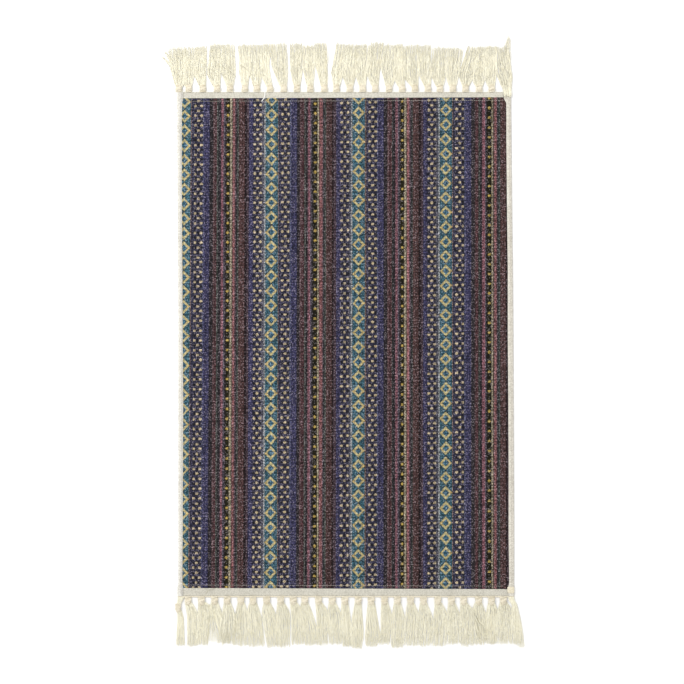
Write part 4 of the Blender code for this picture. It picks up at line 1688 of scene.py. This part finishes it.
@dataclass(frozen=True)
class Finishes:
    """The mat's materials, besides the woven one."""

    left_tape: Material
    right_tape_painted_shade: Material
    folded_tape: Material
    ribbed_tape: Material
    top_yarn_painted_shade: Material
    bottom_yarn: Material
    knot_yarn_painted_shade: Material
    cord_yarn: Material
    seam_thread: Material
    pale_thread: Material
    tan_thread: Material

    @classmethod
    def mixed(cls) -> "Finishes":
        """Build every material from its named tones.

        Returns:
            The finishes.
        """
        return cls(
            # painted shade: the left binding's tape darkens towards its inner edge, as a rounded tape lit
            # from the left would
            TapeWeave("cream_tape_weave", (0.87, 0.85, 0.78), (0.545, 0.515, 0.445), 1.25, 0.2,
                      (1.5, 1.0), (8.5, 0.78)).material(),
            # painted shade: the right binding's tape is a darker copy of the left one, standing in for the
            # side away from the lamp, and is painted paler towards its inner edge, which faces the lamp
            TapeWeave("shaded_tape_weave", (0.77, 0.735, 0.65), (0.48, 0.445, 0.375), 1.25, 0.2,
                      (1.0, 0.93), (6.0, 1.04)).material(),
            # painted shade: the folded tab is a little darker along its outer edge
            TapeWeave("folded_tape_weave", (0.82, 0.76, 0.60), (0.66, 0.58, 0.42), 1.25, 0.2,
                      (0.0, 0.94), (3.0, 1.0)).material(),
            # painted highlight: the heading band's tape is paler along its inner edge beside the panel
            TapeWeave("ribbed_tape_weave", (0.653, 0.627, 0.543), (0.442, 0.42, 0.357), 2.6, 0.1,
                      (1.2, 1.12), (2.4, 1.0)).material(),
            # painted shade: the top fringe's yarn is a darker copy of the bottom fringe's, evening out how
            # the lamp lights the two ends
            YarnFinish("top_yarn_spun", (0.93, 0.90, 0.76), (0.86, 0.81, 0.63)).material(),
            YarnFinish("bottom_yarn_spun", (0.96, 0.93, 0.78), (0.90, 0.85, 0.65)).material(),
            # painted shade: the knots and the bottom cord take a darker copy of the fringe yarn, since the
            # knots stand up into the lamp's light while the tails shade one another
            YarnFinish("knot_yarn_spun", (0.86, 0.80, 0.66), (0.70, 0.63, 0.47)).material(),
            # painted light: the top cord takes a whiter copy of the fringe yarn, which hides the shade in the
            # crease between the cord and the band
            YarnFinish("cord_yarn_painted_light", (0.96, 0.95, 0.90), (0.90, 0.88, 0.78)).material(),
            YarnFinish("seam_thread", (0.58, 0.54, 0.48), (0.40, 0.36, 0.32)).material(),
            YarnFinish("pale_thread", (0.95, 0.95, 0.93), (0.88, 0.88, 0.84)).material(),
            YarnFinish("tan_thread", (0.56, 0.53, 0.40), (0.40, 0.37, 0.26)).material(),
        )


@dataclass(frozen=True)
class Doormat:
    """The whole mat, with its finishes."""

    place: MatFrame
    strips: StripNodes
    finishes: Finishes

    @staticmethod
    def keep(piece: Piece, slot: str, *nodes: str) -> Piece:
        """Let a piece ride on the mat and stand for the CAD nodes that it replaces.

        Args:
            piece: The piece.
            slot: Not used.
            *nodes: CAD nodes that it replaces.

        Returns:
            The piece.
        """
        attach(piece, "root")
        if nodes:
            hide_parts(*nodes)
        log.info("%s: %d faces", piece.name, len(piece.data.polygons))
        return piece

    def build_bindings(self) -> None:
        """Build both side bindings and their stitches."""
        for binding, finish, width in ((SideBinding(Side.LEFT, 2.6), self.finishes.left_tape, 0.0186),
                                       (SideBinding(Side.RIGHT, 5.2), self.finishes.right_tape_painted_shade, 0.0206)):
            node = f"side_binding_{binding.side.value}"
            tape = self.keep(binding.build(self.place, finish), "cream_tape", node)
            stitches = binding.build_stitches(self.place, self.strips, self.finishes.seam_thread)
            extras = [self.keep(stitches, "cream_yarn")]
            if binding.side is Side.RIGHT:
                tab = binding.build_tab(self.place, self.finishes.folded_tape)
                extras.append(self.keep(tab, "cream_tape"))

    def build_bands(self) -> list:
        """Build both heading bands and the seams that hold them.

        Returns:
            The seams.
        """
        seams = []
        for band, flat in ((HeadingBand(End.TOP), (0.572, 0.0159)),
                           (HeadingBand(End.BOTTOM), (0.58, 0.0189))):
            node = f"heading_band_{band.end.name.lower()}"
            tape = self.keep(band.build(self.place, self.finishes.ribbed_tape), "ribbed_tape", node)
            seam = band.build_seam(self.place, self.strips, self.finishes.seam_thread)
            seams.append(self.keep(seam, "cream_yarn"))
        return seams

    def build_fringes(self) -> list:
        """Build both fringes and the loose threads over them.

        Returns:
            The fringes' pieces.
        """
        top = KnottedFringe(End.TOP, TOP_TASSELS, TOP_PARTINGS, seed=26, knot_end=9.8,
                            knot_widths=(5.5, 5.6, 4.6, 3.7), tail_half=5.0, wraps=10, cord_yarn=1.0)
        bottom = KnottedFringe(End.BOTTOM, BOTTOM_TASSELS, BOTTOM_PARTINGS, seed=58, knot_end=12.6,
                               knot_widths=(5.5, 6.0, 5.1, 2.8), tail_half=5.6, wraps=12, cord_yarn=1.35)
        finishes = self.finishes
        pieces = []
        # painted light and shade: the top tails and the knots take darker copies of the one yarn, the top
        # cord a whiter copy
        for fringe, tail_finish, cord_finish in ((top, finishes.top_yarn_painted_shade, finishes.cord_yarn),
                                                 (bottom, finishes.bottom_yarn, finishes.knot_yarn_painted_shade)):
            node = f"knotted_fringe_{fringe.end.name.lower()}"
            for build, finish in ((fringe.build_tails, tail_finish),
                                  (fringe.build_knots, finishes.knot_yarn_painted_shade),
                                  (fringe.build_cord, cord_finish)):
                pieces.append(self.keep(build(self.place, self.strips, finish), "cream_yarn", node))
        for threads, finish in ((PALE_THREADS, finishes.pale_thread), (TAN_THREADS, finishes.tan_thread)):
            pieces.append(self.keep(threads.build(self.place, self.strips, finish), "cream_yarn"))
        return pieces

    def build(self) -> None:
        """Build the whole mat."""
        panel = self.keep(WovenPanel().build(self.place, StripedWeave()), "woven_stripes", "mat_panel")
        self.build_bindings()
        sewn = self.build_bands() + self.build_fringes()


def main() -> None:
    """Build the studio and the mat."""
    logging.basicConfig(level=logging.INFO, format="%(message)s")
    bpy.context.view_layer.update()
    Studio().build()
    finishes = Finishes.mixed()
    Doormat(MatFrame.from_cad(), StripNodes(), finishes).build()


if __name__ == "__main__":
    main()
